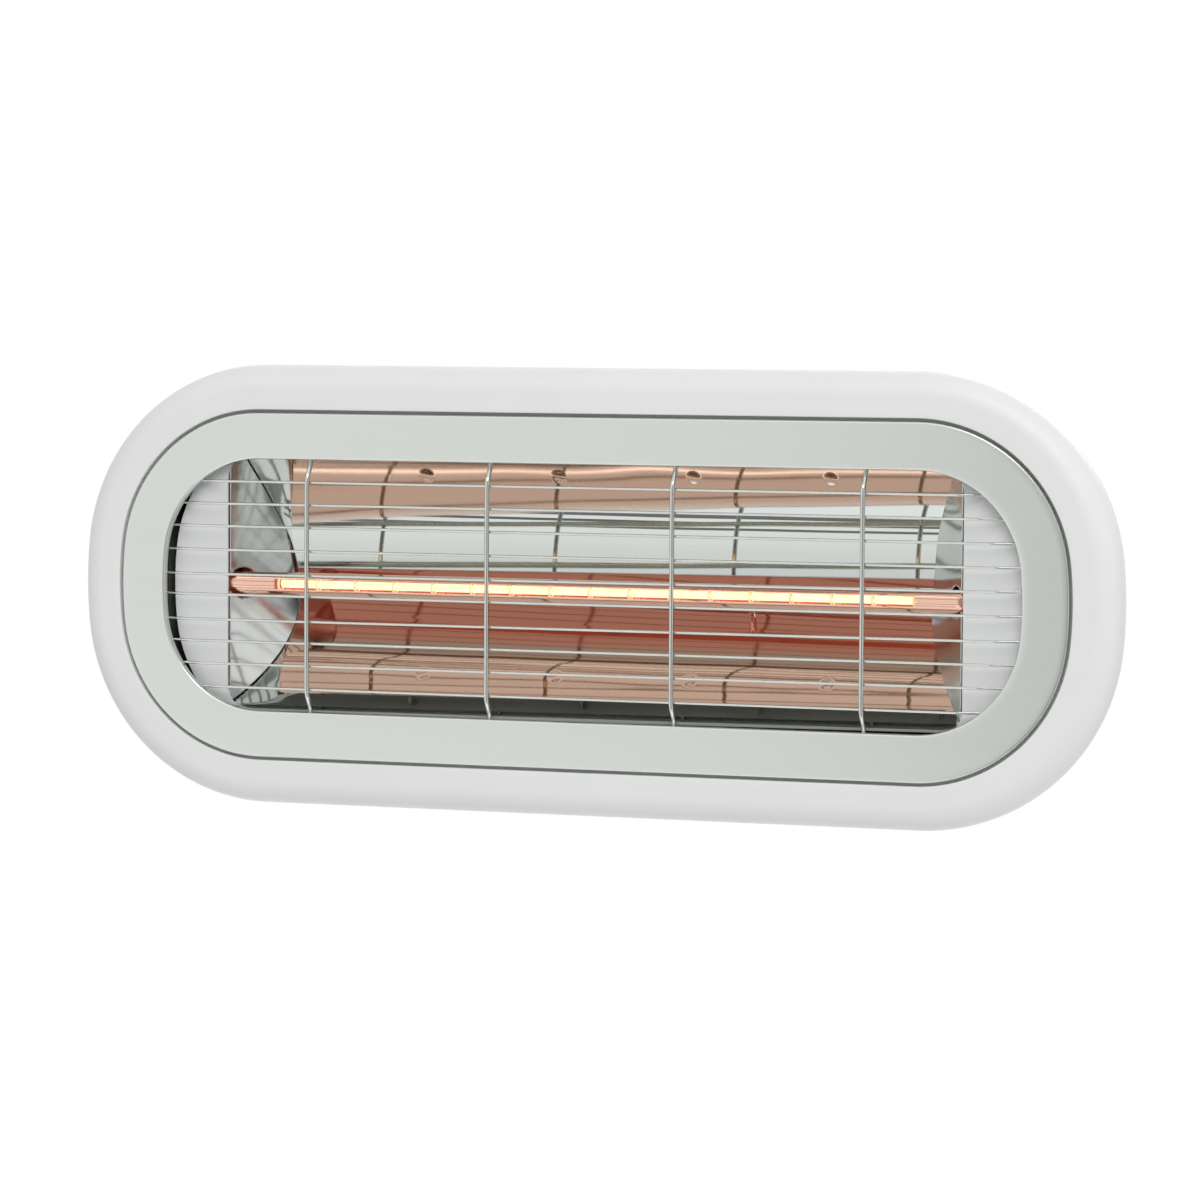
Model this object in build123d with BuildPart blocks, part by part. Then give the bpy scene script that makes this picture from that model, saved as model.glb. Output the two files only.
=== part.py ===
from build123d import *
import math
import os

# Infrared patio heater for wall mounting, in millimetres.
# Origin: centre of the wall plate's screw pattern, on the wall face.
# +Z is up, +X is to the right of someone facing the heater, and the heater faces -Y.
# "Depth" below means the distance behind the front face of the steel bezel.

# Driving sizes

# front outline, shared by the bezel, the frame and the guard: a flat top and bottom,
# a corner arc and one large arc across each end
bezel_half_w = 214.3
bezel_half_h = 75.2
end_arc_r = 170.4
corner_arc_r = 65.2

# bezel, a pressed stainless ring with its edges turned back
bezel_w = 20.3
bezel_sheet = 1.2
bezel_lip = 3.2
bezel_edge_r = 1.1
bezel_gap = 1.3

# cast front frame
rim_w = 20.6
frame_depth = 14.0
frame_edge_r = 10.5
frame_wall = 3.2
frame_web = 3.0
frame_inner_w = 15.0
seat_gap = 0.2

# wire guard
rod_d = 1.2
bar_d = 2.0
rod_count = 10
rod_pitch = 10.0
bar_count = 4
bar_pitch = 83.8
guard_proud = 0.4
bend_run = 7.5
bend_r = 2.6
bend_lead = 3.0
wire_end_gap = 0.8
guard_rim_in = 10.0
guard_rim_w = 8.0
guard_rim_t = 0.9
guard_rim_play = 0.05

# pale front plate behind the guard
plate_depth = 8.0
plate_t = 1.0
plate_side_gap = 5.7
plate_end_in = 20.4
plate_edge_in = 5.2
mouth_side = 31.0
mouth_corner_r = 12.0
mouth_top_in = 17.7
mouth_bottom_in = 18.7

# parabolic trough and its flared end walls
casing_room = 31.0
trough_rise = 8.0
trough_lip = 4.68
trough_sheet = 0.8
trough_flange = 4.5
flange_seat = 0.05
dimple_r = 3.6
dimple_depth = 0.9
dimple_pitch = 61.3
dimple_count = 4
dimple_shift = 11.7
dimple_row = 43.1
dimple_mid = 5.6
end_flare = 0.655
end_sheet = 1.0
end_gap = 1.6
end_foot = 5.0
end_focal = 23.9

# lamp
lamp_front_gap = 1.2
tube_r = 5.0
tube_wall = 1.0
tube_over = 0.5
pinch_l = 14.0
pinch_w = 8.6
pinch_t = 3.0
pinch_taper = 5.0
pip_r = 1.3
pip_l = 4.0
pip_x = 59.0
filament_r = 2.3
filament_in = 23.0
filament_sections = 16
support_t = 0.5
support_r = 3.7
lead_in_r = 0.5
cap_l = 12.0
cap_t = 9.6
cap_h = 14.0
cap_edge_r = 1.5
cap_seat = 0.2
clip_w = 6.0
clip_t = 0.8
clip_foot = 7.0
lamp_hole_gap = 1.6

# rear casing
casing_side_in = 16.3
casing_over = 1.8
casing_corner_r = 48.0
casing_end_depth = 72.0
casing_wall = 3.0
casing_draft = 9.0
casing_edge_r = 8.0
flange_t = 3.2
flange_side_gap = 1.5
gasket_t = 2.4
gasket_in = 4.0
gasket_w = 4.0
rib_count = 5
rib_first = 58.0
rib_side_in = 76.0
rib_end_in = 27.0
rib_t = 2.5
rib_h = 3.0

# fixings
casing_screw_r = 2.0
casing_screw_head_r = 3.8
casing_screw_head_t = 2.6
casing_screw_in = 48.0
casing_screw_columns = 4
plate_screw_r = 1.5
plate_screw_head_r = 2.9
plate_screw_head_t = 1.8
plate_screw_in = 65.0
blind_left = 0.9
thread_end_gap = 0.3
thread_gap = 0.05
hole_gap = 0.3

# tilt hinge and wall bracket
pivot_out = 50.0
pivot_to_casing = 31.0
pivot_bolt_r = 4.0
pivot_play = 0.05
lock_radius = 22.0
lock_bolt_r = 3.0
lock_play = 0.3
tilt_max = 45.0
block_w = 60.0
block_low = 14.0
block_back = 12.0
block_over = 9.0
block_cheek = 14.0
block_corner_r = 8.0
ear_sheet = 3.0
ear_margin = 4.2
side_play = 0.4
bolt_grip = 11.0
washer_t = 1.6
washer_play = 0.3
pivot_head_w = 13.0
pivot_head_t = 5.3
lock_head_w = 10.0
lock_head_t = 4.0
wall_plate_h = 112.0
wall_hole_r = 3.25
wall_hole_x = 40.0
wall_hole_z = 90.0
bracket_bend_r = 2.0

# cable gland in the rear face
gland_side_in = 42.0
gland_z = -26.0
gland_thread_r = 8.0
gland_hex = 22.0
gland_hex_t = 5.0
gland_dome_r = 10.0
gland_dome_l = 12.0
gland_cable_r = 4.0
gland_seal_r = 6.5
gland_neck = 6.0
locknut_t = 4.0

# inside, behind the trough
shield_gap = 5.0
shield_side = 6.0
shield_edge_in = 25.0
shield_t = 0.8
shield_lip = 10.0
shield_corner_r = 3.0
slot_pitch_x = 36.0
slot_pitch_z = 24.0
slot_columns = 7
slot_rows = 3
slot_l = 16.0
slot_w = 4.0
post_r = 4.0
post_side_in = 53.0
post_edge_in = 18.0
terminal_side_in = 83.0
terminal_w = 34.0
terminal_h = 20.0
terminal_t = 12.0
terminal_cells = 3
earth_beside = 40.0
earth_z = -24.0
earth_boss_r = 5.0
earth_boss_h = 4.0
lead_r = 1.3
lead_bend_r = 9.0

# Derived sizes and positions

casing_half_w = bezel_half_w - casing_side_in
casing_half_h = bezel_half_h + casing_over
plate_half_w = casing_half_w - plate_side_gap
plate_half_h = bezel_half_h - plate_edge_in
plate_end_r = end_arc_r - plate_end_in
plate_corner_r = corner_arc_r - plate_edge_in
mouth_half_w = casing_half_w - mouth_side
mouth_top = bezel_half_h - mouth_top_in
mouth_bottom = mouth_bottom_in - bezel_half_h
trough_depth = casing_end_depth - casing_room
trough_low = mouth_bottom + trough_lip
flange_depth = plate_depth + plate_t + flange_seat
focal = (trough_rise - trough_low) ** 2 / (4 * (trough_depth - flange_depth))
lamp_depth = plate_depth + plate_t + cap_t / 2 + lamp_front_gap
tube_half = mouth_half_w + tube_over
filament_half = tube_half - filament_in
rib_l = 2 * (casing_half_h - rib_end_in)
rib_pitch = (casing_half_w - rib_side_in - rib_first) / (rib_count - 1)
gland_x = gland_side_in - casing_half_w
reach = pivot_out + pivot_to_casing + casing_end_depth
web_back = bezel_lip + seat_gap + frame_web
flange_front = web_back + gasket_t
bar_depth = -guard_proud
rod_depth = bar_depth + bar_d / 2 + rod_d / 2
rim_front = bezel_lip + seat_gap - guard_rim_t
shield_half_w = mouth_half_w + shield_side
terminal_x = terminal_side_in - shield_half_w
earth_x = terminal_x + earth_beside
pivot_y = -pivot_out
lamp_y = lamp_depth - reach
bar_reach = bezel_half_h - frame_inner_w - wire_end_gap


def at(depth):
    """Vertical plane facing the viewer, at one depth behind the bezel's front."""
    return Plane.XZ.offset(reach - depth)


def oval(half_w, half_h, end_r, corner_r):
    """Flat face with straight top and bottom, tangent corner arcs and arched ends."""
    mid_x = half_w - end_r
    mid_z = half_h - corner_r
    corner_x = mid_x + math.sqrt((end_r - corner_r) ** 2 - mid_z**2)
    turn = math.degrees(math.atan2(mid_z, corner_x - mid_x))
    with BuildSketch() as face:
        with BuildLine():
            Line((0, half_h), (corner_x, half_h))
            CenterArc((corner_x, mid_z), corner_r, 90, turn - 90)
            CenterArc((mid_x, 0), end_r, turn, -2 * turn)
            CenterArc((corner_x, -mid_z), corner_r, -turn, turn - 90)
            Line((corner_x, -half_h), (0, -half_h))
            mirror(about=Plane.YZ)
        make_face()
    return face.sketch


def front_outline(grow):
    """The bezel's outer outline, grown (or shrunk) by one amount all round."""
    return oval(bezel_half_w + grow, bezel_half_h + grow, end_arc_r + grow, corner_arc_r + grow)


def outline_x(grow, z):
    """Half-width of the front outline, grown by one amount, at height z."""
    end_r = end_arc_r + grow
    corner_r = corner_arc_r + grow
    mid_x = bezel_half_w - end_arc_r
    mid_z = bezel_half_h - corner_arc_r
    corner_x = mid_x + math.sqrt((end_r - corner_r) ** 2 - mid_z**2)
    turn = math.atan2(mid_z, corner_x - mid_x)
    if abs(z) < end_r * math.sin(turn):
        return mid_x + math.sqrt(end_r**2 - z**2)
    return corner_x + math.sqrt(corner_r**2 - (abs(z) - mid_z) ** 2)


def trough_y(z):
    """Depth of the trough's reflecting face at height z."""
    return trough_depth - (z - trough_rise) ** 2 / (4 * focal)


def trough_normal(z):
    """Unit vector (y, z) that points out of the reflecting face, into the trough."""
    slope = (z - trough_rise) / (2 * focal)
    size = math.hypot(1, slope)
    return (-1 / size, -slope / size)


def parabola(low, high, shift=0.0):
    """Three control points, in (y, z), of the reflecting face's curve moved along its normal."""
    ends = []
    for z in (low, high):
        normal_y, normal_z = trough_normal(z)
        slope = -(z - trough_rise) / (2 * focal)
        ends.append((trough_y(z) - reach - shift * normal_y, z - shift * normal_z, slope))
    (y0, z0, s0), (y1, z1, s1) = ends
    mid_z = (y1 - y0 + s0 * z0 - s1 * z1) / (s0 - s1)
    mid_y = y0 + s0 * (mid_z - z0)
    return [(y0, z0), (mid_y, mid_z), (y1, z1)]


os.makedirs("parts", exist_ok=True)


# Front frame

rim_outer = front_outline(rim_w)
rim_pocket = front_outline(rim_w - frame_wall)
bezel_seat = front_outline(bezel_gap)
frame_mouth = front_outline(-frame_inner_w)

flange_grow = rim_w - frame_wall - flange_side_gap
screw_ring = (flange_grow + gasket_in + gasket_w + 2 * hole_gap) / 2
casing_screws_at = []
for i in range(casing_screw_columns):
    x = (2 * i / (casing_screw_columns - 1) - 1) * (casing_half_w - casing_screw_in)
    for side in (-1, 1):
        casing_screws_at.append((x, side * (bezel_half_h + screw_ring)))
for side in (-1, 1):
    casing_screws_at.append((side * (bezel_half_w + screw_ring), 0.0))

plate_screw_x = plate_half_w - plate_screw_in
plate_screw_z = (plate_half_h + bezel_half_h - frame_inner_w) / 2
plate_screws_at = [
    (column * plate_screw_x, side * plate_screw_z) for column in (-1, 0, 1) for side in (-1, 1)
]

with BuildPart() as front_frame:
    with BuildSketch(at(0)):
        add(rim_outer)
    extrude(amount=-frame_depth)
    outer_edges = front_frame.faces().sort_by(Axis.Y)[0].edges()
    fillet(outer_edges, frame_edge_r)
    with BuildSketch(at(0)):
        add(bezel_seat)
    extrude(amount=-(bezel_lip + seat_gap), mode=Mode.SUBTRACT)
    with BuildSketch(at(0)):
        add(frame_mouth)
    extrude(amount=-frame_depth, mode=Mode.SUBTRACT)
    with BuildSketch(at(web_back)):
        add(rim_pocket)
    extrude(amount=-(frame_depth - web_back), mode=Mode.SUBTRACT)
    # bosses that carry the pale plate
    with BuildSketch(at(web_back)):
        with Locations(*plate_screws_at):
            Circle(plate_screw_head_r)
    extrude(amount=-(plate_depth - web_back))
    # blind holes for the screws
    with BuildSketch(at(plate_depth)):
        with Locations(*plate_screws_at):
            Circle(plate_screw_r + thread_gap)
    extrude(amount=plate_depth - web_back + frame_web - blind_left, mode=Mode.SUBTRACT)
    with BuildSketch(at(web_back)):
        with Locations(*casing_screws_at):
            Circle(casing_screw_r + thread_gap)
    extrude(amount=web_back - frame_web, mode=Mode.SUBTRACT)
front_frame.part.label = "front_frame"
export_step(front_frame.part, "parts/front_frame.step")


# Bezel

bezel_outer = front_outline(0)
bezel_inner = front_outline(-bezel_w)
bezel_back_outer = front_outline(-bezel_sheet)
bezel_back_inner = front_outline(-bezel_w + bezel_sheet)

with BuildPart() as bezel:
    with BuildSketch(at(0)):
        add(bezel_outer)
        add(bezel_inner, mode=Mode.SUBTRACT)
    extrude(amount=-bezel_lip)
    fillet(bezel.faces().sort_by(Axis.Y)[0].edges(), bezel_edge_r)
    with BuildSketch(at(bezel_sheet)):
        add(bezel_back_outer)
        add(bezel_back_inner, mode=Mode.SUBTRACT)
    extrude(amount=-(bezel_lip - bezel_sheet), mode=Mode.SUBTRACT)
bezel.part.label = "bezel"
export_step(bezel.part, "parts/bezel.step")


# Wire guard

guard_outer = front_outline(-guard_rim_in)
guard_inner = front_outline(-guard_rim_in - guard_rim_w)

with BuildPart() as guard_rim:
    with BuildSketch(at(rim_front)):
        add(guard_outer)
        add(guard_inner, mode=Mode.SUBTRACT)
    extrude(amount=-(guard_rim_t - guard_rim_play))
guard_rim.part.label = "guard_rim"
export_step(guard_rim.part, "parts/guard_rim.step")

rod_back = bezel_lip + seat_gap + rod_d / 2
bar_back = bezel_lip + seat_gap + bar_d / 2


def bent_wire(points, radius, wire_d):
    """One round wire along points with rounded bends, as a finished part."""
    with BuildPart() as wire:
        with BuildLine() as path:
            FilletPolyline(*points, radius=radius)
        with BuildSketch(Plane(origin=path.line @ 0, z_dir=path.line % 0)):
            Circle(wire_d / 2)
        sweep(path=path.line)
    return wire.part


# each rod is a straight span between two ends that are bent back behind the bezel
rod_ends = []
with BuildPart() as guard_rods:
    for i in range(rod_count):
        z = (i - (rod_count - 1) / 2) * rod_pitch
        tip = outline_x(-frame_inner_w - wire_end_gap, z)
        lip = outline_x(-bezel_w, z) - rod_d
        span = lip - bend_run - bend_lead
        front_y = rod_depth - reach
        back_y = rod_back - reach
        with BuildSketch(Plane.YZ.offset(-span)):
            with Locations((front_y, z)):
                Circle(rod_d / 2)
        extrude(amount=2 * span)
        for side in (-1, 1):
            bend_points = [
                (side * span, front_y, z),
                (side * (lip - bend_run), front_y, z),
                (side * lip, back_y, z),
                (side * tip, back_y, z),
            ]
            rod_ends.append(bent_wire(bend_points, bend_r, rod_d))
guard_rods.part.label = "guard_rods"
export_step(guard_rods.part, "parts/guard_rods.step")

with BuildPart() as guard_rod_ends:
    for rod_end in rod_ends:
        add(rod_end)
guard_rod_ends.part.label = "guard_rod_ends"
export_step(guard_rod_ends.part, "parts/guard_rod_ends.step")

bars = []
for i in range(bar_count):
    x = (i - (bar_count - 1) / 2) * bar_pitch
    lip = bezel_half_h - bezel_w - bar_d / 2
    front_y = bar_depth - reach
    back_y = bar_back - reach
    bars.append(
        bent_wire(
            [
                (x, back_y, -bar_reach),
                (x, back_y, -lip),
                (x, front_y, -lip + bend_run),
                (x, front_y, lip - bend_run),
                (x, back_y, lip),
                (x, back_y, bar_reach),
            ],
            bend_r,
            bar_d,
        )
    )
with BuildPart() as guard_bars:
    for bar in bars:
        add(bar)
guard_bars.part.label = "guard_bars"
export_step(guard_bars.part, "parts/guard_bars.step")


# Pale front plate

plate_face = oval(plate_half_w, plate_half_h, plate_end_r, plate_corner_r)
mouth_mid = (mouth_top + mouth_bottom) / 2

with BuildPart() as front_plate:
    with BuildSketch(at(plate_depth)):
        add(plate_face)
        with Locations((0, mouth_mid)):
            RectangleRounded(
                2 * mouth_half_w, mouth_top - mouth_bottom, mouth_corner_r, mode=Mode.SUBTRACT
            )
        with Locations(*plate_screws_at):
            Circle(plate_screw_r + hole_gap, mode=Mode.SUBTRACT)
    extrude(amount=-plate_t)
front_plate.part.label = "front_plate"
export_step(front_plate.part, "parts/front_plate.step")

with BuildPart() as plate_screws:
    with BuildSketch(at(plate_depth + plate_t)):
        with Locations(*plate_screws_at):
            Circle(plate_screw_head_r)
    extrude(amount=-plate_screw_head_t)
    with BuildSketch(at(plate_depth + plate_t)):
        with Locations(*plate_screws_at):
            Circle(plate_screw_r)
    extrude(amount=plate_t + plate_depth - web_back + frame_web - blind_left - thread_end_gap)
plate_screws.part.label = "plate_screws"
export_step(plate_screws.part, "parts/plate_screws.step")


# Parabolic trough

flange_y = flange_depth - reach


def trough_area(shift, top):
    """Area inside the trough's curve, moved out along its normal, below one height."""
    curve = parabola(2 * trough_low, 2 * mouth_top, shift)
    with BuildSketch() as area:
        with BuildLine():
            Bezier(*curve)
            Line(curve[2], curve[0])
        make_face()
        with Locations((flange_y + trough_depth, top - 2 * mouth_top)):
            Rectangle(2 * trough_depth, 4 * mouth_top, mode=Mode.INTERSECT)
    return area.sketch


trough_out = trough_area(trough_sheet, mouth_top + trough_sheet)
trough_in = trough_area(0, mouth_top)

# each dimple is the cap of a sphere whose centre stands off the reflecting face;
# the outer cap's flat side lies in the middle of the sheet
cap_r = (dimple_r**2 + dimple_depth**2) / (2 * dimple_depth)
cap_off = cap_r - dimple_depth
cap_latitude = math.degrees(math.asin((cap_off + trough_sheet / 2) / (cap_r + trough_sheet)))
dimples_at = []
for i in range(dimple_count):
    x = dimple_shift + (i - (dimple_count - 1) / 2) * dimple_pitch
    for side in (-1, 1):
        z = dimple_mid + side * dimple_row
        normal_y, normal_z = trough_normal(z)
        middle = (x, trough_y(z) - reach + cap_off * normal_y, z + cap_off * normal_z)
        dimples_at.append(Plane(origin=middle, x_dir=(1, 0, 0), z_dir=(0, normal_y, normal_z)))

with BuildPart() as reflector_trough:
    with BuildSketch(Plane.YZ):
        add(trough_out)
        add(trough_in, mode=Mode.SUBTRACT)
    extrude(amount=mouth_half_w - hole_gap, both=True)
    with Locations(*dimples_at):
        Sphere(cap_r + trough_sheet, -90, -cap_latitude, align=None)
    with Locations(*dimples_at):
        Sphere(cap_r, mode=Mode.SUBTRACT)
    with BuildSketch(Plane.YZ):
        with Locations((flange_y + trough_sheet / 2, mouth_top + trough_flange / 2)):
            Rectangle(trough_sheet, trough_flange)
        with Locations((flange_y + trough_sheet / 2, trough_low - trough_flange / 2)):
            Rectangle(trough_sheet, trough_flange)
    extrude(amount=mouth_half_w - hole_gap, both=True)
reflector_trough.part.label = "reflector_trough"
export_step(reflector_trough.part, "parts/reflector_trough.step")


# Flared end walls of the trough

end_area = trough_area(-end_gap, mouth_top - end_gap)
end_long = trough_depth - plate_depth - plate_t
end_skew = end_sheet * math.hypot(1, end_flare)

# the wall's edge is a parabola level with the lamp, so it leaves the trough towards the top
edge_arm = 2 * mouth_top
edge_sag = edge_arm**2 / (4 * end_focal)
edge_apex = trough_depth - reach
with BuildSketch() as end_edge:
    with BuildLine():
        Bezier(
            (edge_apex - edge_sag, -edge_arm),
            (edge_apex + edge_sag, 0),
            (edge_apex - edge_sag, edge_arm),
        )
        Line((edge_apex - edge_sag, edge_arm), (edge_apex - edge_sag, -edge_arm))
    make_face()


def end_reflector(side):
    """Flared end wall on one side, with its foot on the plate and a hole for the lamp."""
    edge = mouth_half_w - hole_gap
    with BuildPart() as wall:
        with BuildSketch(Plane.XY):
            with BuildLine():
                Polyline(
                    (side * edge, flange_y),
                    (side * (edge - end_flare * end_long), flange_y + end_long),
                    (side * (edge - end_flare * end_long + end_skew), flange_y + end_long),
                    (side * (edge - end_flare * end_sheet + end_skew), flange_y + end_sheet),
                    (side * (edge + end_foot), flange_y + end_sheet),
                    (side * (edge + end_foot), flange_y),
                    close=True,
                )
            make_face()
        extrude(amount=2 * mouth_top, both=True)
        with BuildSketch(Plane.YZ):
            add(end_area)
            add(end_edge.sketch, mode=Mode.INTERSECT)
        extrude(amount=side * 2 * mouth_half_w, mode=Mode.INTERSECT)
        with BuildSketch(Plane.YZ):
            with Locations((lamp_y, 0)):
                Circle(tube_r + lamp_hole_gap)
        extrude(amount=side * 2 * mouth_half_w, mode=Mode.SUBTRACT)
    return wall.part


end_reflector_left = end_reflector(-1)
end_reflector_left.label = "end_reflector_left"
export_step(end_reflector_left, "parts/end_reflector_left.step")

end_reflector_right = end_reflector(1)
end_reflector_right.label = "end_reflector_right"
export_step(end_reflector_right, "parts/end_reflector_right.step")


# Lamp

lamp_start = Plane.YZ.offset(-tube_half)
pinch_start = tube_half + pinch_taper

with BuildPart() as lamp_tube:
    with BuildSketch(lamp_start):
        with Locations((lamp_y, 0)):
            Circle(tube_r)
            Circle(tube_r - tube_wall, mode=Mode.SUBTRACT)
    extrude(amount=2 * tube_half)
    for side in (-1, 1):
        with BuildSketch(Plane.YZ.offset(side * tube_half)):
            with Locations((lamp_y, 0)):
                Circle(tube_r)
        with BuildSketch(Plane.YZ.offset(side * pinch_start)):
            with Locations((lamp_y, 0)):
                Ellipse(pinch_t / 2, pinch_w / 2)
        loft()
        with BuildSketch(Plane.YZ.offset(side * pinch_start)):
            with Locations((lamp_y, 0)):
                Ellipse(pinch_t / 2, pinch_w / 2)
        extrude(amount=side * (pinch_l - pinch_taper))
    # sealed-off stub of the exhaust tube, at the back
    with BuildSketch(Plane.XZ.offset(-(lamp_y + tube_r - tube_wall / 2))):
        with Locations((pip_x, 0)):
            Circle(pip_r)
    extrude(amount=-(pip_l + tube_wall / 2), taper=12)
lamp_tube.part.label = "lamp_tube"
export_step(lamp_tube.part, "parts/lamp_tube.step")

section = 2 * filament_half / filament_sections
supports_at = [-filament_half + i * section for i in range(filament_sections + 1)]

with BuildPart() as lamp_filament:
    with BuildSketch(Plane.YZ.offset(-filament_half)):
        with Locations((lamp_y, 0)):
            Circle(filament_r)
    extrude(amount=2 * filament_half)
    with BuildSketch(Plane.YZ.offset(-tube_half)):
        with Locations((lamp_y, 0)):
            Circle(lead_in_r)
    extrude(amount=2 * tube_half)
lamp_filament.part.label = "lamp_filament"
export_step(lamp_filament.part, "parts/lamp_filament.step")

with BuildPart() as filament_supports:
    for x in supports_at:
        with BuildSketch(Plane.YZ.offset(x - support_t / 2)):
            with Locations((lamp_y, 0)):
                Circle(support_r)
                Circle(filament_r + thread_gap, mode=Mode.SUBTRACT)
        extrude(amount=support_t)
filament_supports.part.label = "filament_supports"
export_step(filament_supports.part, "parts/filament_supports.step")

cap_x = pinch_start + cap_seat + cap_l / 2
socket_l = pinch_l - pinch_taper - cap_seat + thread_gap

with BuildPart() as lamp_caps:
    for side in (-1, 1):
        with Locations((side * cap_x, lamp_y, 0)):
            Box(cap_l, cap_t, cap_h)
    fillet(lamp_caps.edges().filter_by(Axis.X), cap_edge_r)
    for side in (-1, 1):
        with BuildSketch(Plane.YZ.offset(side * (cap_x - cap_l / 2))):
            with Locations((lamp_y, 0)):
                Ellipse(pinch_t / 2 + thread_gap, pinch_w / 2 + thread_gap)
        extrude(amount=side * socket_l, mode=Mode.SUBTRACT)
lamp_caps.part.label = "lamp_caps"
export_step(lamp_caps.part, "parts/lamp_caps.step")

clip_x = cap_x - cap_l / 2 + clip_w / 2 + 0.5
clip_top = lamp_y + cap_t / 2 + thread_gap
clip_side = cap_h / 2 + thread_gap

with BuildPart() as lamp_clips:
    with BuildSketch(Plane.YZ.offset(-clip_x - clip_w / 2)):
        with BuildLine():
            Polyline(
                (flange_y, clip_side + clip_foot),
                (flange_y, clip_side),
                (clip_top, clip_side),
                (clip_top, -clip_side),
                (flange_y, -clip_side),
                (flange_y, -clip_side - clip_foot),
                (flange_y + clip_t, -clip_side - clip_foot),
                (flange_y + clip_t, -clip_side - clip_t),
                (clip_top + clip_t, -clip_side - clip_t),
                (clip_top + clip_t, clip_side + clip_t),
                (flange_y + clip_t, clip_side + clip_t),
                (flange_y + clip_t, clip_side + clip_foot),
                close=True,
            )
        make_face()
    extrude(amount=clip_w)
    mirror(about=Plane.YZ)
lamp_clips.part.label = "lamp_clips"
export_step(lamp_clips.part, "parts/lamp_clips.step")


# Rear casing

casing_length = casing_end_depth - flange_front
casing_back_y = casing_end_depth - reach
back_shrink = casing_length * math.tan(math.radians(casing_draft))
rib_spots = [(side * (rib_first + i * rib_pitch), 0) for side in (-1, 1) for i in range(rib_count)]
block_top = lock_radius + block_over
lock_at = (pivot_y, lock_radius)
gland_spot = (gland_x, gland_z)

with BuildPart() as cavity:
    with BuildSketch(at(flange_front)):
        RectangleRounded(
            2 * (casing_half_w - casing_wall),
            2 * (casing_half_h - casing_wall),
            casing_corner_r - casing_wall,
        )
    extrude(amount=-(casing_length - casing_wall), taper=casing_draft)
    fillet(cavity.faces().sort_by(Axis.Y)[-1].edges(), casing_edge_r - casing_wall)

with BuildPart() as rear_casing:
    with BuildSketch(at(flange_front)):
        RectangleRounded(2 * casing_half_w, 2 * casing_half_h, casing_corner_r)
    extrude(amount=-casing_length, taper=casing_draft)
    fillet(rear_casing.faces().sort_by(Axis.Y)[-1].edges(), casing_edge_r)
    with BuildSketch(at(flange_front)):
        add(front_outline(flange_grow))
    extrude(amount=-flange_t)
    # cooling ribs on the back
    with BuildSketch(at(casing_end_depth - rib_t)):
        with Locations(*rib_spots):
            SlotCenterToCenter(rib_l - rib_t, rib_t, rotation=90)
    extrude(amount=-(rib_h + rib_t))
    # hinge block between the bracket's ears
    with BuildSketch(Plane.YZ.offset(-block_w / 2)):
        with BuildLine():
            block_line = FilletPolyline(
                (casing_back_y - casing_wall / 2, block_top),
                (pivot_y + block_back, block_top),
                (pivot_y + block_back, -block_low),
                (casing_back_y - casing_wall / 2, -block_low),
                radius=block_corner_r,
            )
            Line(block_line @ 1, block_line @ 0)
        make_face()
    extrude(amount=block_w)
    with BuildSketch(Plane.XY.offset(-2 * block_low)):
        with Locations((0, pivot_y - block_back / 2)):
            RectangleRounded(
                block_w - 2 * block_cheek, pivot_to_casing + block_back, block_corner_r / 2
            )
    extrude(amount=4 * block_top, mode=Mode.SUBTRACT)
    add(cavity.part, mode=Mode.SUBTRACT)
    # inside: a boss for the earth screw
    with BuildSketch(at(casing_end_depth - casing_wall - earth_boss_h)):
        with Locations((earth_x, earth_z)):
            Circle(earth_boss_r)
    extrude(amount=-(earth_boss_h + casing_wall / 2))
    with BuildSketch(at(casing_end_depth - casing_wall - earth_boss_h)):
        with Locations((earth_x, earth_z)):
            Circle(casing_screw_r + thread_gap)
    extrude(amount=-(earth_boss_h + casing_wall / 3), mode=Mode.SUBTRACT)
    # bores for the pivot and lock bolts
    with BuildSketch(Plane.YZ.offset(-block_w)):
        with Locations((pivot_y, 0)):
            Circle(pivot_bolt_r + thread_gap)
        with Locations(lock_at):
            Circle(lock_bolt_r + thread_gap)
    extrude(amount=2 * block_w, mode=Mode.SUBTRACT)
    # cable entry and flange holes
    with BuildSketch(at(casing_end_depth - 2 * casing_wall)):
        with Locations(gland_spot):
            Circle(gland_thread_r + thread_gap)
    extrude(amount=-4 * casing_wall, mode=Mode.SUBTRACT)
    with BuildSketch(at(flange_front)):
        with Locations(*casing_screws_at):
            Circle(casing_screw_r + hole_gap)
    extrude(amount=-flange_t, mode=Mode.SUBTRACT)
rear_casing.part.label = "rear_casing"
export_step(rear_casing.part, "parts/rear_casing.step")

with BuildPart() as casing_gasket:
    with BuildSketch(at(web_back)):
        add(front_outline(gasket_in + gasket_w))
        add(front_outline(gasket_in), mode=Mode.SUBTRACT)
    extrude(amount=-gasket_t)
casing_gasket.part.label = "casing_gasket"
export_step(casing_gasket.part, "parts/casing_gasket.step")

screw_seat = flange_front + flange_t

with BuildPart() as casing_screws:
    with BuildSketch(at(screw_seat)):
        with Locations(*casing_screws_at):
            Circle(casing_screw_head_r)
    extrude(amount=-casing_screw_head_t)
    fillet(casing_screws.faces().sort_by(Axis.Y)[-1].edges(), casing_screw_head_t / 3)
    with BuildSketch(at(screw_seat)):
        with Locations(*casing_screws_at):
            Circle(casing_screw_r)
    extrude(amount=screw_seat - frame_web - thread_end_gap)
casing_screws.part.label = "casing_screws"
export_step(casing_screws.part, "parts/casing_screws.step")


# Cable gland, with no cable

gland_inner = casing_wall + locknut_t + 1.0

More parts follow.
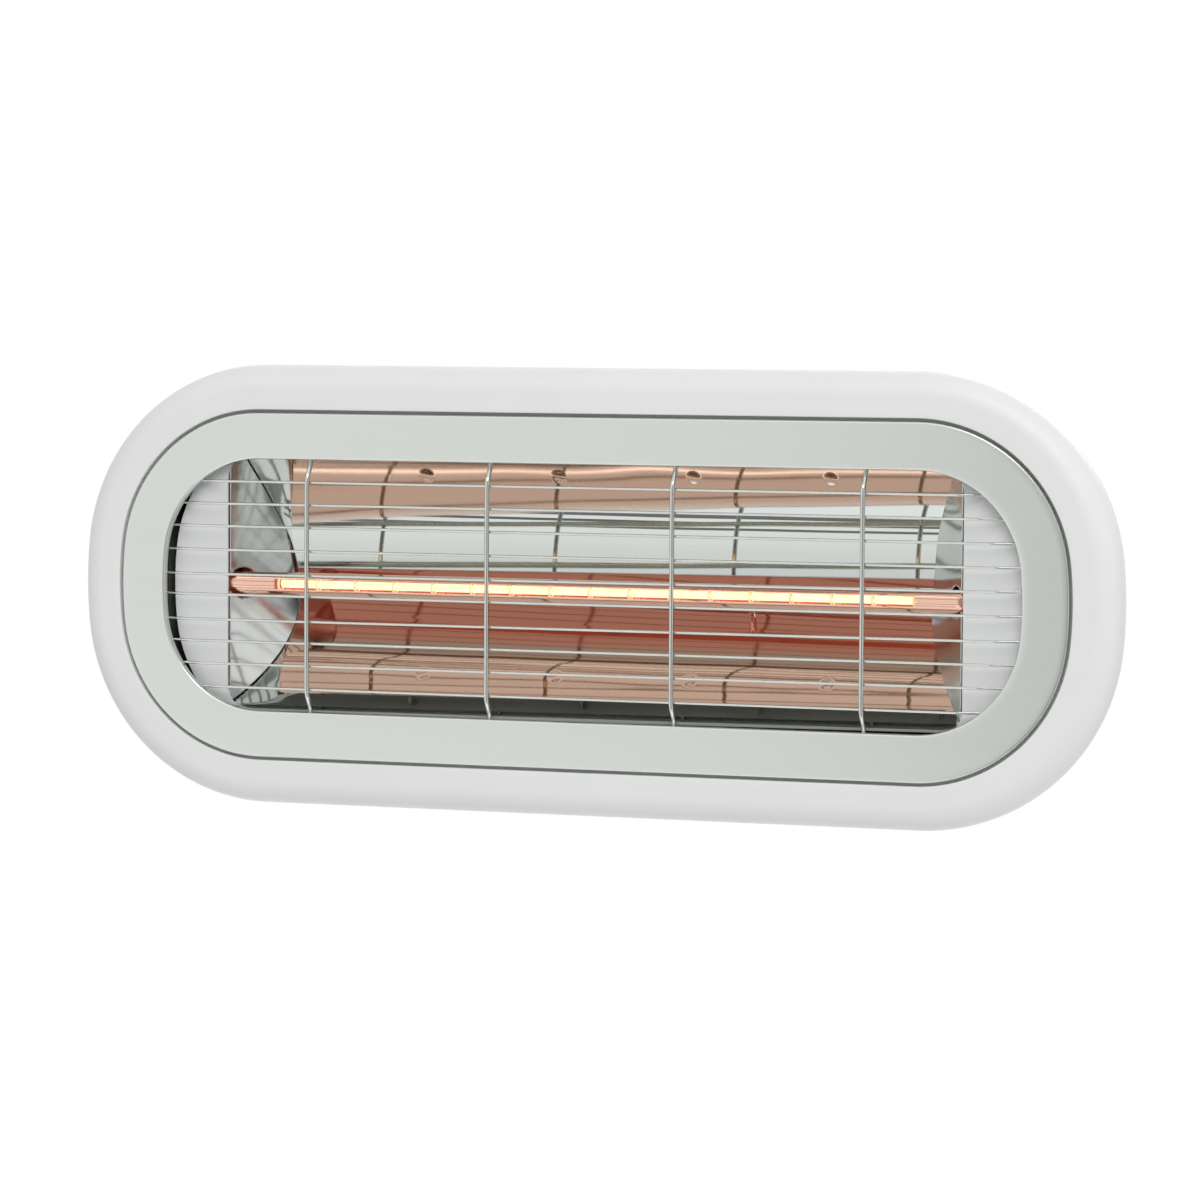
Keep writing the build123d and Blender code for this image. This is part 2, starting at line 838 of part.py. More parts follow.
with BuildPart() as gland_body:
    with BuildSketch(at(casing_end_depth)):
        with Locations(gland_spot):
            RegularPolygon(gland_hex / 2, 6, major_radius=False)
    extrude(amount=-gland_hex_t)
    with BuildSketch(at(casing_end_depth + gland_hex_t)):
        with Locations(gland_spot):
            Circle(gland_thread_r)
    extrude(amount=gland_hex_t + gland_inner)
    with BuildSketch(at(casing_end_depth + gland_hex_t)):
        with Locations(gland_spot):
            Circle(gland_thread_r)
    extrude(amount=-gland_neck)
    with BuildSketch(at(casing_end_depth + gland_hex_t + gland_neck)):
        with Locations(gland_spot):
            Circle(gland_seal_r)
    extrude(amount=2 * gland_hex_t + gland_neck + gland_inner, mode=Mode.SUBTRACT)
gland_body.part.label = "gland_body"
export_step(gland_body.part, "parts/gland_body.step")

dome_front = casing_end_depth + gland_hex_t + thread_gap

with BuildPart() as gland_nut:
    with BuildSketch(at(dome_front)):
        with Locations(gland_spot):
            Circle(gland_dome_r)
    extrude(amount=-gland_dome_l)
    fillet(gland_nut.faces().sort_by(Axis.Y)[-1].edges(), gland_dome_l / 4)
    with BuildSketch(at(dome_front)):
        with Locations(gland_spot):
            Circle(gland_thread_r + thread_gap)
    extrude(amount=-(gland_neck + thread_gap), mode=Mode.SUBTRACT)
    with BuildSketch(at(dome_front)):
        with Locations(gland_spot):
            Circle(gland_cable_r + 1.0)
    extrude(amount=-gland_dome_l, mode=Mode.SUBTRACT)
gland_nut.part.label = "gland_nut"
export_step(gland_nut.part, "parts/gland_nut.step")

with BuildPart() as gland_seal:
    with BuildSketch(at(casing_end_depth)):
        with Locations(gland_spot):
            Circle(gland_seal_r - thread_gap)
            Circle(gland_cable_r, mode=Mode.SUBTRACT)
    extrude(amount=-(gland_hex_t + gland_neck))
gland_seal.part.label = "gland_seal"
export_step(gland_seal.part, "parts/gland_seal.step")

with BuildPart() as gland_locknut:
    with BuildSketch(at(casing_end_depth - casing_wall - locknut_t)):
        with Locations(gland_spot):
            RegularPolygon(gland_hex / 2, 6, major_radius=False)
            Circle(gland_thread_r + thread_gap, mode=Mode.SUBTRACT)
    extrude(amount=-locknut_t)
gland_locknut.part.label = "gland_locknut"
export_step(gland_locknut.part, "parts/gland_locknut.step")


# Behind the trough: heat shield, terminal block, leads and earth screw

shield_depth = trough_depth + trough_sheet + shield_gap
shield_half_h = casing_half_h - shield_edge_in
shield_back = shield_depth + shield_t
inner_back = casing_end_depth - casing_wall
post_x = shield_half_w - post_side_in
post_z = shield_half_h - post_edge_in
posts_at = [(x, z) for x in (-post_x, post_x) for z in (-post_z, post_z)]

with BuildPart() as heat_shield:
    with BuildSketch(at(shield_depth - shield_lip)):
        RectangleRounded(2 * shield_half_w, 2 * shield_half_h, shield_corner_r)
    extrude(amount=-(shield_lip + shield_t))
    with BuildSketch(at(shield_depth - shield_lip)):
        RectangleRounded(
            2 * (shield_half_w - shield_t),
            2 * (shield_half_h - shield_t),
            shield_corner_r - shield_t,
        )
    extrude(amount=-shield_lip, mode=Mode.SUBTRACT)
    with BuildSketch(at(shield_depth)):
        with GridLocations(slot_pitch_x, slot_pitch_z, slot_columns, slot_rows):
            SlotOverall(slot_l, slot_w)
    extrude(amount=-shield_t, mode=Mode.SUBTRACT)
heat_shield.part.label = "heat_shield"
export_step(heat_shield.part, "parts/heat_shield.step")

with BuildPart() as shield_posts:
    with BuildSketch(at(shield_back)):
        with Locations(*posts_at):
            Circle(post_r)
    extrude(amount=-(inner_back - shield_back))
shield_posts.part.label = "shield_posts"
export_step(shield_posts.part, "parts/shield_posts.step")

terminal_front = inner_back - terminal_t
cell = terminal_w / terminal_cells
cells_at = [(terminal_x + (i - (terminal_cells - 1) / 2) * cell, 0) for i in range(terminal_cells)]

with BuildPart() as terminal_block:
    with BuildSketch(at(terminal_front)):
        with Locations((terminal_x, 0)):
            Rectangle(terminal_w, terminal_h)
    extrude(amount=-terminal_t)
    with BuildSketch(at(terminal_front)):
        with Locations(*cells_at):
            Circle(cell / 4)
    extrude(amount=-terminal_t / 2, mode=Mode.SUBTRACT)
terminal_block.part.label = "terminal_block"
export_step(terminal_block.part, "parts/terminal_block.step")

lead_out = cap_x + cap_l / 2 - lead_r - 0.5
cap_back_y = lamp_y + cap_t / 2
lead_y = terminal_front + terminal_t / 3 - reach
left_lead = [
    (-lead_out, cap_back_y, 0),
    (-lead_out, lead_y, 0),
    (terminal_x - terminal_w / 2, lead_y, 0),
]
right_lead = [
    (lead_out, cap_back_y, 0),
    (lead_out, lead_y, 0),
    (terminal_x + terminal_w / 2, lead_y, 0),
]
lead_left = bent_wire(left_lead, lead_bend_r, 2 * lead_r)
lead_right = bent_wire(right_lead, lead_bend_r, 2 * lead_r)
with BuildPart() as lamp_leads:
    add(lead_left)
    add(lead_right)
lamp_leads.part.label = "lamp_leads"
export_step(lamp_leads.part, "parts/lamp_leads.step")

earth_front = inner_back - earth_boss_h

with BuildPart() as earth_screw:
    with BuildSketch(at(earth_front)):
        with Locations((earth_x, earth_z)):
            Circle(casing_screw_head_r)
    extrude(amount=casing_screw_head_t)
    with BuildSketch(at(earth_front)):
        with Locations((earth_x, earth_z)):
            Circle(casing_screw_r)
    extrude(amount=-(earth_boss_h + casing_wall / 4))
earth_screw.part.label = "earth_screw"
export_step(earth_screw.part, "parts/earth_screw.step")


# Wall bracket

ear_r = lock_radius + lock_bolt_r + lock_play + ear_margin
ear_in = block_w / 2 + side_play
ear_out = ear_in + ear_sheet
channel_l = pivot_out + ear_r + 1.0
pivot_at = (pivot_y, 0)

with BuildPart() as wall_bracket:
    # bent channel seen from above
    with BuildSketch(Plane.XY.offset(-wall_plate_h / 2)):
        with Locations((0, -channel_l / 2)):
            channel = Rectangle(2 * ear_out, channel_l)
        fillet(channel.vertices().group_by(Axis.Y)[-1], bracket_bend_r + ear_sheet)
        with BuildLine():
            Polyline(
                (-ear_in, -channel_l),
                (-ear_in, -ear_sheet),
                (ear_in, -ear_sheet),
                (ear_in, -channel_l),
                close=True,
            )
        make_face(mode=Mode.SUBTRACT)
    extrude(amount=wall_plate_h)
    # ears seen from the side: arms that end in a disc round the pivot
    plate_y = -(ear_sheet + bracket_bend_r)
    with BuildSketch(Plane.YZ.offset(-2 * ear_out)):
        with Locations((plate_y / 2, 0)):
            Rectangle(-plate_y, wall_plate_h)
        with Locations((pivot_y / 2, 0)):
            Rectangle(pivot_out, 2 * ear_r)
        with Locations(pivot_at):
            Circle(ear_r)
    extrude(amount=4 * ear_out, mode=Mode.INTERSECT)
    # pivot bores and arc slots for the lock bolts
    with BuildSketch(Plane.YZ.offset(-2 * ear_out)):
        with Locations(pivot_at):
            Circle(pivot_bolt_r + pivot_play)
    extrude(amount=4 * ear_out, mode=Mode.SUBTRACT)
    with BuildSketch(Plane.YZ.offset(-2 * ear_out)):
        with BuildLine() as slot_arc:
            CenterArc(pivot_at, lock_radius, 90, tilt_max)
        SlotArc(slot_arc.edges()[0], 2 * (lock_bolt_r + lock_play))
    extrude(amount=4 * ear_out, mode=Mode.SUBTRACT)
    # wall screws
    with BuildSketch(Plane.XZ):
        with GridLocations(wall_hole_x, wall_hole_z, 2, 2):
            Circle(wall_hole_r)
    extrude(amount=ear_sheet, mode=Mode.SUBTRACT)
wall_bracket.part.label = "wall_bracket"
export_step(wall_bracket.part, "parts/wall_bracket.step")


# Pivot and lock bolts

washer_in = ear_out + washer_play


def bolt_pair(centre, shank_r, head_w, head_t, is_hex):
    """Two equal bolts, one through each ear, at one point of the side view."""
    with BuildPart() as bolts:
        for side in (-1, 1):
            head_x = side * (washer_in + washer_t)
            with BuildSketch(Plane.YZ.offset(head_x)):
                with Locations(centre):
                    if is_hex:
                        RegularPolygon(head_w / 2, 6, major_radius=False)
                    else:
                        Circle(head_w / 2)
            extrude(amount=side * head_t)
            with BuildSketch(Plane.YZ.offset(head_x)):
                with Locations(centre):
                    Circle(shank_r)
            extrude(amount=-side * (washer_t + washer_play + ear_sheet + side_play + bolt_grip))
        if not is_hex:
            for side in (-1, 1):
                with BuildSketch(Plane.YZ.offset(side * (washer_in + washer_t + head_t))):
                    with Locations(centre):
                        RegularPolygon(head_w / 4, 6, major_radius=False)
                extrude(amount=-side * head_t / 2, mode=Mode.SUBTRACT)
    return bolts.part


def washer_pair(centre, hole_r, outer_r):
    """Two equal washers between the bolt heads and the ears."""
    with BuildPart() as washers:
        for side in (-1, 1):
            with BuildSketch(Plane.YZ.offset(side * washer_in)):
                with Locations(centre):
                    Circle(outer_r)
                    Circle(hole_r, mode=Mode.SUBTRACT)
            extrude(amount=side * washer_t)
    return washers.part


pivot_bolts = bolt_pair(pivot_at, pivot_bolt_r, pivot_head_w, pivot_head_t, True)
pivot_bolts.label = "pivot_bolts"
export_step(pivot_bolts, "parts/pivot_bolts.step")

pivot_washers = washer_pair(pivot_at, pivot_bolt_r + thread_gap, pivot_head_w / 2 + 1.5)
pivot_washers.label = "pivot_washers"
export_step(pivot_washers, "parts/pivot_washers.step")

lock_bolts = bolt_pair(lock_at, lock_bolt_r, lock_head_w, lock_head_t, False)
lock_bolts.label = "lock_bolts"
export_step(lock_bolts, "parts/lock_bolts.step")

lock_washers = washer_pair(lock_at, lock_bolt_r + thread_gap, lock_head_w / 2 + 1.0)
lock_washers.label = "lock_washers"
export_step(lock_washers, "parts/lock_washers.step")
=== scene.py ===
"""Looks of a wall-held infrared patio heater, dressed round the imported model.

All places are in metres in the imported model's frame: +Z is up, the heater faces -Y, and +X is to
the right of someone who faces it. The origin is the middle of the wall plate on the wall.
Sizes are written in millimetres times MM. A depth is a distance behind the bezel's front face.
"""

import logging
import math
from dataclasses import dataclass, field
from enum import Enum
from typing import Sequence

import bmesh
import bpy
from mathutils import Matrix, Vector, noise


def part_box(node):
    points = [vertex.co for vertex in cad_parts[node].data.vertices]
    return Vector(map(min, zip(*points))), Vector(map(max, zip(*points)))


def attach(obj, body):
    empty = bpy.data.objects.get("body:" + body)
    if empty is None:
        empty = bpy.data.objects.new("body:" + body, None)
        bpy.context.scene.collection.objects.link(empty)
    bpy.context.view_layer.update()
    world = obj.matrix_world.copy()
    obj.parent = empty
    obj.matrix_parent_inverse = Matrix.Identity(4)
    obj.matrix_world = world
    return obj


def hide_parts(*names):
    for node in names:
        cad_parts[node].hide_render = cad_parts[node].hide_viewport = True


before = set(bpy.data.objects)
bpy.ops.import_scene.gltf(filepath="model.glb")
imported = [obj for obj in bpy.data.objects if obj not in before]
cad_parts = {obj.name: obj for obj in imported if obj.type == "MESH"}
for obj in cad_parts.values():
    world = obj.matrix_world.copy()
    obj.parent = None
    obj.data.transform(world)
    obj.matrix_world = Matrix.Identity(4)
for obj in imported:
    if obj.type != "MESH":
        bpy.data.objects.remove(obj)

MM = 0.001
LOG = logging.getLogger("heater")
TINY = 1e-6

# Nearly all of a noise's factor lies between these two.
NOISE_LOW, NOISE_HIGH = 0.3, 0.7

# How a noise's seed moves its pattern along X, Y and Z.
SEED_WAY = (1.0, 0.7, 1.3)

# The colour sockets of a mix node, which has sockets for numbers and vectors too.
MIX_BELOW, MIX_ABOVE, MIX_RESULT = 6, 7, 2

Colour = tuple[float, float, float]
Point = tuple[float, float, float]
Profile = list[tuple[float, float]]
Socket = bpy.types.NodeSocket

WHITE: Colour = (1.0, 1.0, 1.0)
BLACK: Colour = (0.0, 0.0, 0.0)


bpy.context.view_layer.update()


class Grain(Enum):
    """How a surface's fine marks run, as a stretch of the texture along X, Y and Z."""

    EVEN = (1.0, 1.0, 1.0)
    ALONG_X = (0.02, 1.0, 1.0)
    ALONG_Z = (1.0, 1.0, 0.03)


class Rule(Enum):
    """How a node makes one number of two."""

    GREATER = "MAXIMUM"
    PRODUCT = "MULTIPLY"


class Quarter(Enum):
    """The quarter of a circle that rounds a profile's corner, by its first and last angle.

    An angle of 0 degrees points outwards, and one of 90 degrees points backwards.
    """

    INNER_FRONT = (180, 270)
    OUTER_FRONT = (-90, 0)
    OUTER_BACK = (0, 90)


class Side(Enum):
    """An end of the heater, by the sign of its x."""

    LEFT = -1
    RIGHT = 1


def joined(tree: bpy.types.NodeTree, rule: Rule, first: Socket, second: Socket) -> Socket:
    """Makes one number of two.

    Args:
        tree: the node tree.
        rule: what is done with the numbers.
        first: one number's socket.
        second: the other number's socket.

    Returns:
        The result socket.
    """
    node = tree.nodes.new("ShaderNodeMath")
    node.operation = rule.value
    tree.links.new(first, node.inputs[0])
    tree.links.new(second, node.inputs[1])
    return node.outputs[0]


def shown(tree: bpy.types.NodeTree, plain: float, seen: float) -> Socket:
    """A number for rays that show a surface or its mirror image, and another for its light.

    Args:
        tree: the node tree.
        plain: the number for the light that a surface gives to others.
        seen: the number for the camera, and for what metal and glass show of the surface.

    Returns:
        The number's socket.
    """
    path = tree.nodes.new("ShaderNodeLightPath")
    either = path.outputs["Is Camera Ray"]
    for output in ("Is Glossy Ray", "Is Transmission Ray"):
        either = joined(tree, Rule.GREATER, either, path.outputs[output])
    level = tree.nodes.new("ShaderNodeMapRange")
    level.inputs["To Min"].default_value = plain
    level.inputs["To Max"].default_value = seen
    tree.links.new(either, level.inputs["Value"])
    return level.outputs["Result"]


class Nodes:
    """One material's node tree, with short calls for the nodes that the finishes share."""

    def __init__(self, name: str) -> None:
        """Makes the material.

        Args:
            name: the material's name.
        """
        self.material = bpy.data.materials.new(name)
        self.material.use_nodes = True
        self.tree = self.material.node_tree
        self.surface = self.tree.nodes["Principled BSDF"]
        self.place = self.tree.nodes.new("ShaderNodeTexCoord").outputs["Object"]

    def set(self, **values: object) -> None:
        """Sets constants on the surface shader's own sockets.

        Args:
            values: socket names in lower case with underscores, and their values.
        """
        for key, value in values.items():
            socket = self.surface.inputs[key.replace("_", " ").title().replace("Ior", "IOR")]
            if isinstance(value, tuple) and len(value) == 3:
                value = (*value, 1.0)
            socket.default_value = value

    def noise(
        self, size: float, detail: float = 3.0, grain: Grain = Grain.EVEN, seed: float = 0.0
    ) -> Socket:
        """Adds a noise texture.

        Args:
            size: rough size of one blotch, in metres.
            detail: octaves of finer noise.
            grain: how the blotches are stretched.
            seed: moves the pattern, so that two noises differ.

        Returns:
            The noise's factor socket.
        """
        mapping = self.tree.nodes.new("ShaderNodeMapping")
        mapping.inputs["Location"].default_value = [way * seed for way in SEED_WAY]
        mapping.inputs["Scale"].default_value = grain.value
        texture = self.tree.nodes.new("ShaderNodeTexNoise")
        texture.inputs["Scale"].default_value = 1.0 / size
        texture.inputs["Detail"].default_value = detail
        self.tree.links.new(self.place, mapping.inputs["Vector"])
        self.tree.links.new(mapping.outputs["Vector"], texture.inputs["Vector"])
        return texture.outputs["Fac"]

    def between(self, factor: Socket, low: float, high: float) -> Socket:
        """Turns a noise's factor into a number between two values.

        Args:
            factor: the socket to read.
            low: value at the bottom.
            high: value at the top.

        Returns:
            The result socket.
        """
        span = self.tree.nodes.new("ShaderNodeMapRange")
        span.inputs["From Min"].default_value = NOISE_LOW
        span.inputs["From Max"].default_value = NOISE_HIGH
        span.inputs["To Min"].default_value = low
        span.inputs["To Max"].default_value = high
        self.tree.links.new(factor, span.inputs["Value"])
        return span.outputs["Result"]

    def tint(self, factor: Socket, first: Colour, second: Colour) -> Socket:
        """Blends two colours by a noise's factor.

        Args:
            factor: the socket to read.
            first: colour at the bottom.
            second: colour at the top.

        Returns:
            The colour socket.
        """
        ramp = self.tree.nodes.new("ShaderNodeValToRGB")
        stops = ramp.color_ramp.elements
        stops[0].position, stops[1].position = NOISE_LOW, NOISE_HIGH
        stops[0].color, stops[1].color = (*first, 1.0), (*second, 1.0)
        self.tree.links.new(factor, ramp.inputs["Fac"])
        return ramp.outputs["Color"]

    def along(self, axis: str, start: float, end: float, low: float, high: float) -> Socket:
        """A number that goes from one value to another between two places on an axis.

        Args:
            axis: "X", "Y" or "Z".
            start: the place where the change starts.
            end: the place where it ends.
            low: value up to the start.
            high: value from the end on.

        Returns:
            The result socket.
        """
        split = self.tree.nodes.new("ShaderNodeSeparateXYZ")
        self.tree.links.new(self.place, split.inputs[0])
        span = self.tree.nodes.new("ShaderNodeMapRange")
        span.interpolation_type = "SMOOTHSTEP"
        span.inputs["From Min"].default_value = start
        span.inputs["From Max"].default_value = end
        span.inputs["To Min"].default_value = low
        span.inputs["To Max"].default_value = high
        self.tree.links.new(split.outputs[axis], span.inputs["Value"])
        return span.outputs["Result"]

    def facing_in(self, centre: Point, back: float, blur: float = 0.1 * MM) -> Socket:
        """Tells the inner faces of a hollow body from its outer ones, in the body's own axes.

        Args:
            centre: a point in front of the hollow, which its inner faces look at.
            back: the y behind which every face counts as an outer one.
            blur: width of the change at the back.

        Returns:
            A socket that is 1 on inner faces and 0 on outer ones.
        """
        geometry = self.tree.nodes.new("ShaderNodeNewGeometry")
        away = self.tree.nodes.new("ShaderNodeVectorMath")
        away.operation = "SUBTRACT"
        away.inputs[1].default_value = centre
        self.tree.links.new(self.place, away.inputs[0])
        turned = self.tree.nodes.new("ShaderNodeVectorTransform")
        turned.vector_type, turned.convert_from, turned.convert_to = "NORMAL", "WORLD", "OBJECT"
        self.tree.links.new(geometry.outputs["True Normal"], turned.inputs["Vector"])
        dot = self.tree.nodes.new("ShaderNodeVectorMath")
        dot.operation = "DOT_PRODUCT"
        self.tree.links.new(away.outputs["Vector"], dot.inputs[0])
        self.tree.links.new(turned.outputs["Vector"], dot.inputs[1])
        inner = self.tree.nodes.new("ShaderNodeMath")
        inner.operation = "LESS_THAN"
        inner.inputs[1].default_value = 0.0
        self.tree.links.new(dot.outputs["Value"], inner.inputs[0])
        ahead = self.along("Y", back - blur, back, 1.0, 0.0)
        return joined(self.tree, Rule.PRODUCT, inner.outputs[0], ahead)

    def cover(self, factor: Socket, below: Socket, colour: Colour) -> Socket:
        """Lays one colour over another where a factor is 1.

        Args:
            factor: the socket to read.
            below: colour socket that shows where the factor is 0.
            colour: colour that shows where it is 1.

        Returns:
            The colour socket.
        """
        mix = self.tree.nodes.new("ShaderNodeMix")
        mix.data_type = "RGBA"
        self.tree.links.new(factor, mix.inputs["Factor"])
        self.tree.links.new(below, mix.inputs[MIX_BELOW])
        mix.inputs[MIX_ABOVE].default_value = (*colour, 1.0)
        return mix.outputs[MIX_RESULT]

    def feed(self, socket: Socket, target: str) -> None:
        """Links a socket to one of the surface shader's inputs."""
        self.tree.links.new(socket, self.surface.inputs[target])

    def bump(self, height: Socket, depth: float, strength: float = 1.0) -> None:
        """Adds relief to the surface.

        Args:
            height: the socket that gives the relief.
            depth: the relief's depth, in metres.
            strength: how much of it shows.
        """
        relief = self.tree.nodes.new("ShaderNodeBump")
        relief.inputs["Distance"].default_value = depth
        relief.inputs["Strength"].default_value = strength
        self.tree.links.new(height, relief.inputs["Height"])
        previous = self.surface.inputs["Normal"].links
        if previous:
            self.tree.links.new(previous[0].from_socket, relief.inputs["Normal"])
        self.tree.links.new(relief.outputs["Normal"], self.surface.inputs["Normal"])


def shaded(colour: Colour, amount: float) -> Colour:
    """A colour made lighter or darker.

    Args:
        colour: the colour to start from.
        amount: factor, where 1 changes nothing.

    Returns:
        The new colour, no channel above 1.
    """
    return tuple(min(1.0, channel * amount) for channel in colour)


@dataclass(frozen=True)
class PowderCoat:
    """Baked powder paint with a faint orange-peel skin, which can lay a dark colour as painted shade on
    the inner faces of an unlit hollow.
    """

    name: str
    colour: Colour
    roughness: float = 0.42
    peel: float = 1.3 * MM
    peel_depth: float = 0.02 * MM
    # Colour laid on the faces inside the hollow: painted shade, since the hollow gets no light.
    inside: Colour | None = None
    hollow_centre: Point = (0.0, -0.15, 0.0)
    hollow_back: float = -0.0835
    gloss: float = 0.45
    cloud: float = 60 * MM
    cloud_dark: float = 0.985
    cloud_light: float = 1.01
    patch: float = 9 * MM
    patch_change: float = 0.04
    peel_strength: float = 0.5

    def make(self) -> bpy.types.Material:
        """Builds the material.

        Returns:
            The material.
        """
        nodes = Nodes(self.name)
        nodes.set(specular_ior_level=self.gloss)
        dark, light = shaded(self.colour, self.cloud_dark), shaded(self.colour, self.cloud_light)
        paint = nodes.tint(nodes.noise(self.cloud, detail=2.0), dark, light)
        # Painted shade on the inner faces of the hollow.
        if self.inside:
            inner = nodes.facing_in(self.hollow_centre, self.hollow_back)
            paint = nodes.cover(inner, paint, self.inside)
        nodes.feed(paint, "Base Color")
        sharp, dull = self.roughness - self.patch_change, self.roughness + self.patch_change
        nodes.feed(nodes.between(nodes.noise(self.patch), sharp, dull), "Roughness")
        nodes.bump(nodes.noise(self.peel, detail=2.0), self.peel_depth, self.peel_strength)
        return nodes.material


@dataclass(frozen=True)
class Metal:
    """Bare metal, from mirror sheet to dull steel."""

    name: str
    colour: Colour
    roughness: float
    grain: Grain = Grain.EVEN
    mark: float = 0.5 * MM
    mark_depth: float = 0.002 * MM
    streak: float = 0.04
    spread: float = 0.15
    streak_size: float = 14 * MM
    streak_seed: float = 2.0

    def make(self) -> bpy.types.Material:
        """Builds the material.

        Returns:
            The material.
        """
        nodes = Nodes(self.name)
        nodes.set(metallic=1.0)
        marks = nodes.noise(self.mark, detail=4.0, grain=self.grain)
        low = shaded(self.colour, 1.0 - self.streak)
        high = shaded(self.colour, 1.0 + self.streak)
        streaks = nodes.noise(self.streak_size, grain=self.grain, seed=self.streak_seed)
        nodes.feed(nodes.tint(streaks, low, high), "Base Color")
        sharp, dull = (1 - self.spread) * self.roughness, (1 + self.spread) * self.roughness
        nodes.feed(nodes.between(marks, sharp, dull), "Roughness")
        nodes.bump(marks, self.mark_depth)
        return nodes.material


@dataclass(frozen=True)
class CoatedQuartz:
    """Polished quartz with a copper mirror coating that thins out in a strip at its front.

    The coating carries painted glow for the filament's light on it, and its back, which shows in the
    trough alone, is painted redder and glows red as painted reflection of light bounced between tube and
    trough.
    """

    name: str
    colour: Colour
    # Emission colours and strength of the coating: painted glow for the filament's light, redder on the
    # back as painted reflection.
    heat: Colour
    back_painted_reflection: Colour
    back_painted_glow: Colour
    back_blur: float = 1.5 * MM
    painted_glow_strength: float = 0.24
    roughness: float = 0.06
    cloudiness: float = 0.02
    strip_cover: float = 0.18
    strip_edge: float = 0.7 * MM
    strip_blur: float = 0.35 * MM
    strip_over: float = 1.5 * MM
    cloud: float = 30 * MM
    dim_patch: float = 0.9
    patch: float = 6 * MM
    sharp: float = 0.8
    dull: float = 1.3

    def make(self) -> bpy.types.Material:
        """Builds the material, with the strip in front of the filament alone.

        Returns:
            The material.
        """
        nodes = Nodes(self.name)
        nodes.set(metallic=1.0, emission_strength=self.painted_glow_strength)
        cloud = nodes.noise(self.cloud, detail=1.0, grain=Grain.ALONG_X)
        low = shaded(self.colour, 1 - self.cloudiness)
        high = shaded(self.colour, 1 + self.cloudiness)
        front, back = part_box("lamp_tube")
        middle = (front.y + back.y) / 2
        # The back half gets the redder copper and the red glow: painted reflection of light bounced
        # between tube and trough.
        behind = nodes.along("Y", middle, middle + self.back_blur, 0.0, 1.0)
        coat = nodes.tint(cloud, low, high)
        nodes.feed(nodes.cover(behind, coat, self.back_painted_reflection), "Base Color")
        glow = nodes.tint(cloud, shaded(self.heat, self.dim_patch), self.heat)
        nodes.feed(nodes.cover(behind, glow, self.back_painted_glow), "Emission Color")
        sharp, dull = self.sharp * self.roughness, self.dull * self.roughness
        nodes.feed(nodes.between(nodes.noise(self.patch), sharp, dull), "Roughness")
        edge = front.y + self.strip_edge
        cover = nodes.along("Y", edge - self.strip_blur, edge, self.strip_cover, 1.0)
        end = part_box("filament_supports")[1].x + self.strip_over
        for side in (-1, 1):
            past = nodes.along("X", side * (end - self.strip_over), side * end, 0.0, 1.0)
            cover = joined(nodes.tree, Rule.GREATER, cover, past)
        nodes.feed(cover, "Alpha")
        return nodes.material


@dataclass(frozen=True)
class Glow:
    """Metal that glows with heat, a little cooler in places."""

    name: str
    cool: Colour
    hot: Colour
    strength: float
    roughness: float = 0.5
    patch: float = 7 * MM
    ember: float = 0.6

    def make(self) -> bpy.types.Material:
        """Builds the material.

        Returns:
            The material.
        """
        nodes = Nodes(self.name)
        nodes.set(metallic=1.0, roughness=self.roughness, emission_strength=self.strength)
        heat = nodes.noise(self.patch, detail=2.0)
        nodes.feed(nodes.tint(heat, self.cool, self.hot), "Emission Color")
        nodes.feed(nodes.tint(heat, shaded(self.cool, self.ember), self.cool), "Base Color")
        return nodes.material


@dataclass(frozen=True)
class Matt:
    """Ceramic, nylon, rubber or sleeving: a non-metal with its own grain."""

    name: str
    colour: Colour
    roughness: float
    grain_size: float = 0.8 * MM
    grain_depth: float = 0.03 * MM
    mottle: float = 0.06
    gloss: float = 0.4
    blotch: float = 6 * MM
    grain_change: float = 0.06
    grain_strength: float = 0.6

    def make(self) -> bpy.types.Material:
        """Builds the material.

        Returns:
            The material.
        """
        nodes = Nodes(self.name)
        nodes.set(specular_ior_level=self.gloss)
        low = shaded(self.colour, 1.0 - self.mottle)
        high = shaded(self.colour, 1.0 + self.mottle)
        nodes.feed(nodes.tint(nodes.noise(self.blotch), low, high), "Base Color")
        grain = nodes.noise(self.grain_size)
        sharp, dull = self.roughness - self.grain_change, self.roughness + self.grain_change
        nodes.feed(nodes.between(grain, sharp, dull), "Roughness")
        nodes.bump(grain, self.grain_depth, self.grain_strength)
        return nodes.material


